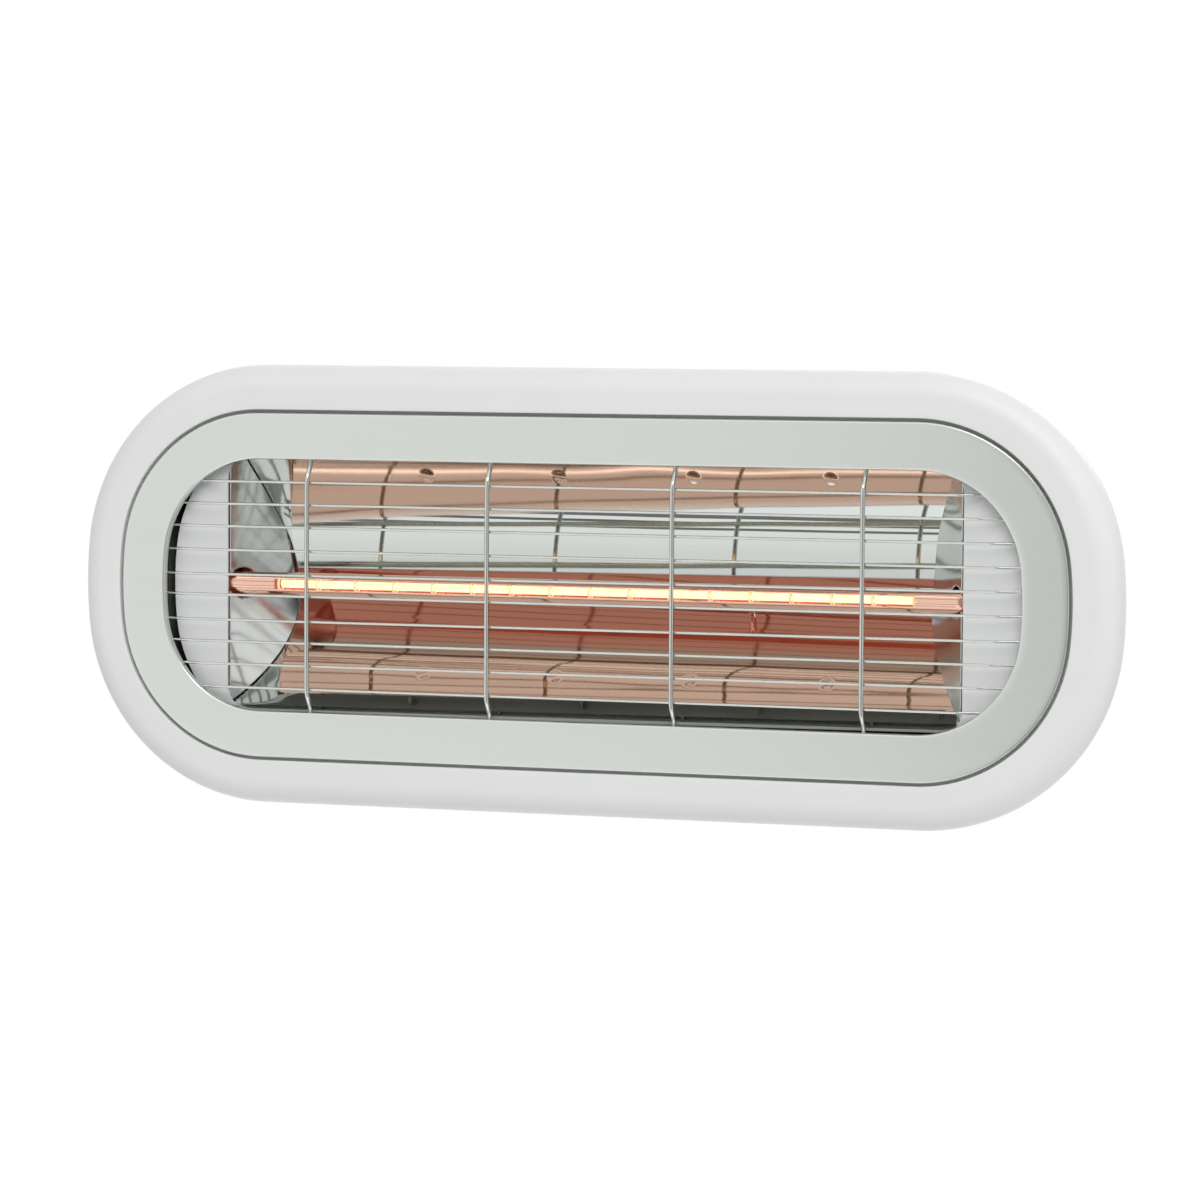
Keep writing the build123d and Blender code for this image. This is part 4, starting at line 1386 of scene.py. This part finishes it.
@dataclass
class Lamp:
    """Copper-coated quartz rod with a glowing filament, its end caps, clips and leads."""

    radius: float = 5.0 * MM
    half_l: float = 167.5 * MM
    pinch_l: float = 14.0 * MM
    taper: float = 5.0 * MM
    pinch_w: float = 8.6 * MM
    pinch_t: float = 3.0 * MM
    sides: int = 72
    rod_steps: int = 60
    taper_steps: int = 8
    pip_x: float = 59.0 * MM
    pip_r: float = 1.4 * MM
    pip_l: float = 4.0 * MM
    pip_sink: float = 0.4 * MM
    pip_sides: int = 20
    pip_along: tuple[float, ...] = (0.0, 0.2, 0.5, 0.8, 0.94, 1.0)
    pip_wide: tuple[float, ...] = (1.25, 1.1, 0.95, 0.8, 0.5, 0.1)
    filament_half: float = 144.5 * MM
    sections: int = 16
    coil_r: float = 1.5 * MM
    coil_wire: float = 0.3 * MM
    coil_turns: int = 22
    coil_steps: int = 12
    coil_sides: int = 6
    end_play: float = 0.35 * MM
    y: float = field(init=False)
    z: float = field(init=False)

    def __post_init__(self) -> None:
        """Reads the lamp's axis from the frame."""
        self.y, self.z = lamp_axis()

    def stations(self) -> list[tuple[float, float]]:
        """Where the tube's rings stand, from left to right.

        Returns:
            Each ring's x, and how far the tube is pressed flat there, from 0 to 1.
        """
        shares = [k / self.taper_steps for k in range(self.taper_steps + 1)]
        right = [(self.half_l + self.taper * share, share) for share in shares]
        right += [(self.half_l + self.pinch_l, 1.0)]
        left = [(-x, flat) for x, flat in reversed(right)]
        rod = [-self.half_l + 2 * self.half_l * k / self.rod_steps for k in range(1, self.rod_steps)]
        return left + [(x, 0.0) for x in rod] + right

    def ring(self, x: float, flat: float) -> list[Vector]:
        """One ring of the tube.

        Args:
            x: the ring's place.
            flat: how far the tube is pressed flat, from 0 to 1.

        Returns:
            The ring's points.
        """
        ease = flat * flat * (3 - 2 * flat)
        tall = self.radius + (self.pinch_w / 2 - self.radius) * ease
        deep = self.radius + (self.pinch_t / 2 - self.radius) * ease
        angles = turns(self.sides)
        return [Vector((x, self.y + deep * math.cos(t), self.z + tall * math.sin(t))) for t in angles]

    def stub_ring(self, along: float, wide: float) -> list[Vector]:
        """One ring of the sealed-off stub.

        Args:
            along: how far along the stub it is, from 0 to 1.
            wide: its radius, as a share of the stub's.

        Returns:
            The ring's points.
        """
        y = self.y + self.radius - self.pip_sink + self.pip_l * along
        r = self.pip_r * wide
        angles = turns(self.pip_sides)
        return [Vector((self.pip_x + r * math.cos(t), y, self.z + r * math.sin(t))) for t in angles]

    def tube(self) -> bpy.types.Mesh:
        """The quartz envelope: a rod with flattened ends and a sealed-off stub at its back.

        Returns:
            The mesh.
        """
        form = bmesh.new()
        skin(form, [self.ring(x, flat) for x, flat in self.stations()], False, True)
        cap(form, 0, self.sides)
        cap(form, len(form.verts) - self.sides, self.sides)
        first = len(form.verts)
        stub = [self.stub_ring(along, wide) for along, wide in zip(self.pip_along, self.pip_wide)]
        skin(form, stub, False, True)
        cap(form, len(form.verts) - self.pip_sides, self.pip_sides)
        cap(form, first, self.pip_sides)
        return closed_mesh(form)

    def coil(self) -> bpy.types.Mesh:
        """The filament: one coiled wire in sections, with a short gap between two sections.

        Returns:
            The mesh.
        """
        form = bmesh.new()
        section = 2 * self.filament_half / self.sections
        span = section - 2 * self.end_play
        steps = self.coil_turns * self.coil_steps
        for i in range(self.sections):
            start = -self.filament_half + i * section + self.end_play
            path = []
            for k in range(steps + 1):
                t = 2 * math.pi * k / self.coil_steps
                y, z = self.y + self.coil_r * math.cos(t), self.z + self.coil_r * math.sin(t)
                path.append(Vector((start + span * k / steps, y, z)))
            wire(form, path, self.coil_wire, self.coil_sides)
        return closed_mesh(form)

    def build(self, finishes: Finishes) -> None:
        """Builds the lamp and dresses its fittings.

        Args:
            finishes: the heater's finishes.
        """
        tube, coil = self.tube(), self.coil()
        piece("lamp_quartz", tube, finishes.quartz, "heater", ["lamp_tube"])
        piece("lamp_coil", coil, finishes.filament, "heater", ["lamp_filament"], sharp=60)
        dress("filament_supports", finishes.disc)
        dress("lamp_caps", finishes.ceramic)
        dress("lamp_clips", finishes.spring)
        dress("lamp_leads", finishes.sleeve)


class Inside:
    """What stands behind the trough, and the front plate with its screws."""

    def build(self, finishes: Finishes) -> None:
        """Dresses the nodes.

        Args:
            finishes: the heater's finishes.
        """
        dress("front_plate", finishes.plate)
        dress("plate_screws", finishes.screw)
        dress("heat_shield", finishes.shield)
        dress("shield_posts", finishes.screw)
        dress("terminal_block", finishes.ceramic)
        dress("earth_screw", finishes.screw)


class RearCasing:
    """Cast casing with its gasket, screws and cable gland."""

    def build(self, finishes: Finishes) -> None:
        """Dresses the nodes.

        Args:
            finishes: the heater's finishes.
        """
        dress("rear_casing", finishes.casing)
        dress("casing_gasket", finishes.rubber)
        dress("casing_screws", finishes.screw)
        for node in ("gland_body", "gland_nut", "gland_locknut"):
            dress(node, finishes.nylon)
        dress("gland_seal", finishes.rubber)


class TiltMount:
    """Wall bracket with its pivot and lock bolts."""

    def build(self, finishes: Finishes) -> None:
        """Dresses the nodes.

        Args:
            finishes: the heater's finishes.
        """
        dress("wall_bracket", finishes.bracket)
        for node in ("pivot_bolts", "pivot_washers", "lock_bolts", "lock_washers"):
            dress(node, finishes.screw)


@dataclass(frozen=True)
class FloorPaper:
    """Matt white paper for the floor, which looks a little lighter than the light that it gives back."""

    dark: Colour = (0.93, 0.93, 0.93)
    light: Colour = (0.96, 0.96, 0.96)
    cloud: float = 0.4
    roughness: float = 0.9
    gloss: float = 0.1
    lift: float = 0.5

    def make(self) -> bpy.types.Material:
        """Builds the material.

        Returns:
            The material.
        """
        nodes = Nodes("floor_paper")
        nodes.set(roughness=self.roughness, specular_ior_level=self.gloss, emission_color=WHITE)
        nodes.feed(nodes.tint(nodes.noise(self.cloud, detail=2.0), self.dark, self.light), "Base Color")
        nodes.feed(shown(nodes.tree, 0.0, self.lift), "Emission Strength")
        return nodes.material


@dataclass(frozen=True)
class CardPaper:
    """A card's paper, which shows by a level of its own and not by the light on it."""

    name: str
    level: float
    dark: Colour = (0.97, 0.98, 0.97)
    cloud: float = 0.5

    def make(self) -> bpy.types.Material:
        """Builds the material.

        Returns:
            The material.
        """
        nodes = Nodes(self.name)
        nodes.set(base_color=BLACK, specular_ior_level=0.0, emission_strength=self.level)
        nodes.feed(nodes.tint(nodes.noise(self.cloud, detail=1.0), self.dark, WHITE), "Emission Color")
        return nodes.material


@dataclass(frozen=True)
class Card:
    """A curved card that shows in the heater's mirrors and gives no light of its own.

    Its sides are azimuths and its heights are elevations, both in degrees, seen from the heater.
    A level of 1 is white.
    """

    name: str
    sides: tuple[float, float]
    heights: tuple[float, float]
    level: float
    radius: float = 1.5
    rows: int = 8
    columns: int = 24

    def hang(self) -> None:
        """Hangs the card."""
        rows = []
        for i in range(self.rows + 1):
            e = math.radians(self.heights[0] + (self.heights[1] - self.heights[0]) * i / self.rows)
            row = []
            for j in range(self.columns + 1):
                a = math.radians(self.sides[0] + (self.sides[1] - self.sides[0]) * j / self.columns)
                x, y = math.sin(a) * math.cos(e), -math.cos(a) * math.cos(e)
                row.append(self.radius * Vector((x, y, math.sin(e))))
            rows.append(row)
        form = bmesh.new()
        skin(form, rows, False, False)
        mesh = plain_mesh(form, self.name)
        mesh.materials.append(CardPaper(f"{self.name}_paper", self.level).make())
        card = bpy.data.objects.new(self.name, mesh)
        card.visible_camera = card.visible_diffuse = card.visible_shadow = False
        card.visible_transmission = card.visible_volume_scatter = False
        bpy.context.scene.collection.objects.link(card)


@dataclass(frozen=True)
class SoftLamp:
    """One soft lamp that looks at the heater, with its power in watts."""

    name: str
    place: Point
    size: tuple[float, float]
    power: float
    mirrored: bool = True

    def hang(self) -> None:
        """Hangs the lamp."""
        data = bpy.data.lights.new(self.name, "AREA")
        data.shape = "RECTANGLE"
        data.size, data.size_y = self.size
        data.energy = self.power
        thing = bpy.data.objects.new(self.name, data)
        thing.location = self.place
        thing.visible_glossy = self.mirrored
        thing.rotation_euler = (-Vector(self.place)).to_track_quat("-Z", "Y").to_euler()
        bpy.context.scene.collection.objects.link(thing)


@dataclass
class Studio:
    """Pale floor, white surroundings, soft lamps and the camera at the photograph's view."""

    floor_z: float = -1.8
    floor_half: float = 9.0
    floor_grid: int = 8
    ambient: float = 0.59
    azimuth: float = 20.0
    elevation: float = 3.4966
    roll: float = 0.32405
    distance: float = 2.01755
    focal_px: float = 4754.5
    frame_px: float = 1200.0
    sensor: float = 36.0
    aim: Point = (0.0096989, 0.0, -0.0023669)
    rail_sides: tuple[float, float] = (-60.0, -8.0)

    def floor(self) -> None:
        """Lays the floor."""
        form = bmesh.new()
        grid = self.floor_grid
        bmesh.ops.create_grid(form, x_segments=grid, y_segments=grid, size=self.floor_half)
        bmesh.ops.translate(form, verts=form.verts, vec=(0, 0, self.floor_z))
        mesh = plain_mesh(form, "floor")
        mesh.materials.append(FloorPaper().make())
        floor = bpy.data.objects.new("floor", mesh)
        bpy.context.scene.collection.objects.link(floor)

    def surroundings(self) -> None:
        """Makes the surroundings white where they are seen, and a plain level of soft light elsewhere."""
        world = bpy.data.worlds.new("white_room")
        bpy.context.scene.world = world
        world.use_nodes = True
        tree = world.node_tree
        tree.nodes.clear()
        light = tree.nodes.new("ShaderNodeBackground")
        tree.links.new(shown(tree, self.ambient, 1.0), light.inputs["Strength"])
        light.inputs["Color"].default_value = (*WHITE, 1.0)
        out = tree.nodes.new("ShaderNodeOutputWorld")
        tree.links.new(light.outputs[0], out.inputs["Surface"])

    def lamps(self) -> list[SoftLamp]:
        """The soft lamps.

        Returns:
            A key lamp above the camera, a weak one at its right and one behind the heater.
        """
        return [
            SoftLamp("key", (0.9, -2.3, 1.8), (1.6, 1.6), 36.0),
            SoftLamp("side", (2.2, -0.6, 0.6), (1.4, 1.4), 5.0, mirrored=False),
            SoftLamp("rear", (0.4, 2.2, 1.4), (1.6, 1.2), 22.0),
        ]

    def cards(self) -> list[Card]:
        """What the mirrors show besides the white room.

        Returns:
            A lit strip and a dark ceiling above, three rails below, and the camera's side.
        """
        return [
            Card("bright_strip", self.rail_sides, (42.0, 44.5), 3.2),
            Card("dark_ceiling", (-88.0, -20.0), (50.0, 66.0), 0.3),
            Card("upper_rail", self.rail_sides, (-35.0, -33.3), 0.25),
            Card("middle_rail", self.rail_sides, (-39.0, -37.4), 0.2),
            Card("lower_rail", self.rail_sides, (-43.5, -41.2), 0.25),
            Card("camera_side", (-3.0, 60.0), (-50.0, 38.0), 0.4),
        ]

    def camera(self, front: Front) -> None:
        """Sets the camera where the photograph was taken from.

        Args:
            front: the heater's outline, whose face the camera aims at.
        """
        a, e, r = (math.radians(v) for v in (self.azimuth, self.elevation, self.roll))
        back = Vector((math.sin(a) * math.cos(e), -math.cos(a) * math.cos(e), math.sin(e)))
        right = (-back).cross(Vector((0, 0, 1))).normalized()
        up = right.cross(-back)
        x_axis = right * math.cos(r) + up * math.sin(r)
        y_axis = up * math.cos(r) - right * math.sin(r)
        place = Vector(self.aim) + Vector((0, front.face_y, 0)) + back * self.distance
        data = bpy.data.cameras.new("photo_view")
        data.sensor_width = self.sensor
        data.lens = self.focal_px * self.sensor / self.frame_px
        camera = bpy.data.objects.new("photo_view", data)
        turn = Matrix((x_axis, y_axis, back)).transposed()
        camera.matrix_world = Matrix.Translation(place) @ turn.to_4x4()
        bpy.context.scene.collection.objects.link(camera)
        bpy.context.scene.camera = camera

    def build(self, front: Front) -> None:
        """Builds the studio.

        Args:
            front: the heater's outline.
        """
        bpy.context.scene.view_settings.view_transform = "Standard"
        self.floor()
        self.surroundings()
        for thing in self.lamps() + self.cards():
            thing.hang()
        self.camera(front)


def main() -> None:
    """Builds the heater piece by piece, then the studio."""
    logging.basicConfig(level=logging.INFO, format="%(name)s: %(message)s")
    finishes = Finishes()
    front = Front()
    FrontFrame(front).build(finishes)
    Bezel(front).build(finishes)
    Guard(front).build(finishes)
    trough = Trough(front)
    trough.build(finishes)
    EndWall(trough, Side.LEFT, flare=0.62, twist=7.5).build(finishes)
    EndWall(trough, Side.RIGHT, flare=0.70, twist=2.5).build(finishes)
    Lamp().build(finishes)
    Inside().build(finishes)
    RearCasing().build(finishes)
    TiltMount().build(finishes)
    Studio().build(front)


if __name__ == "__main__":
    main()
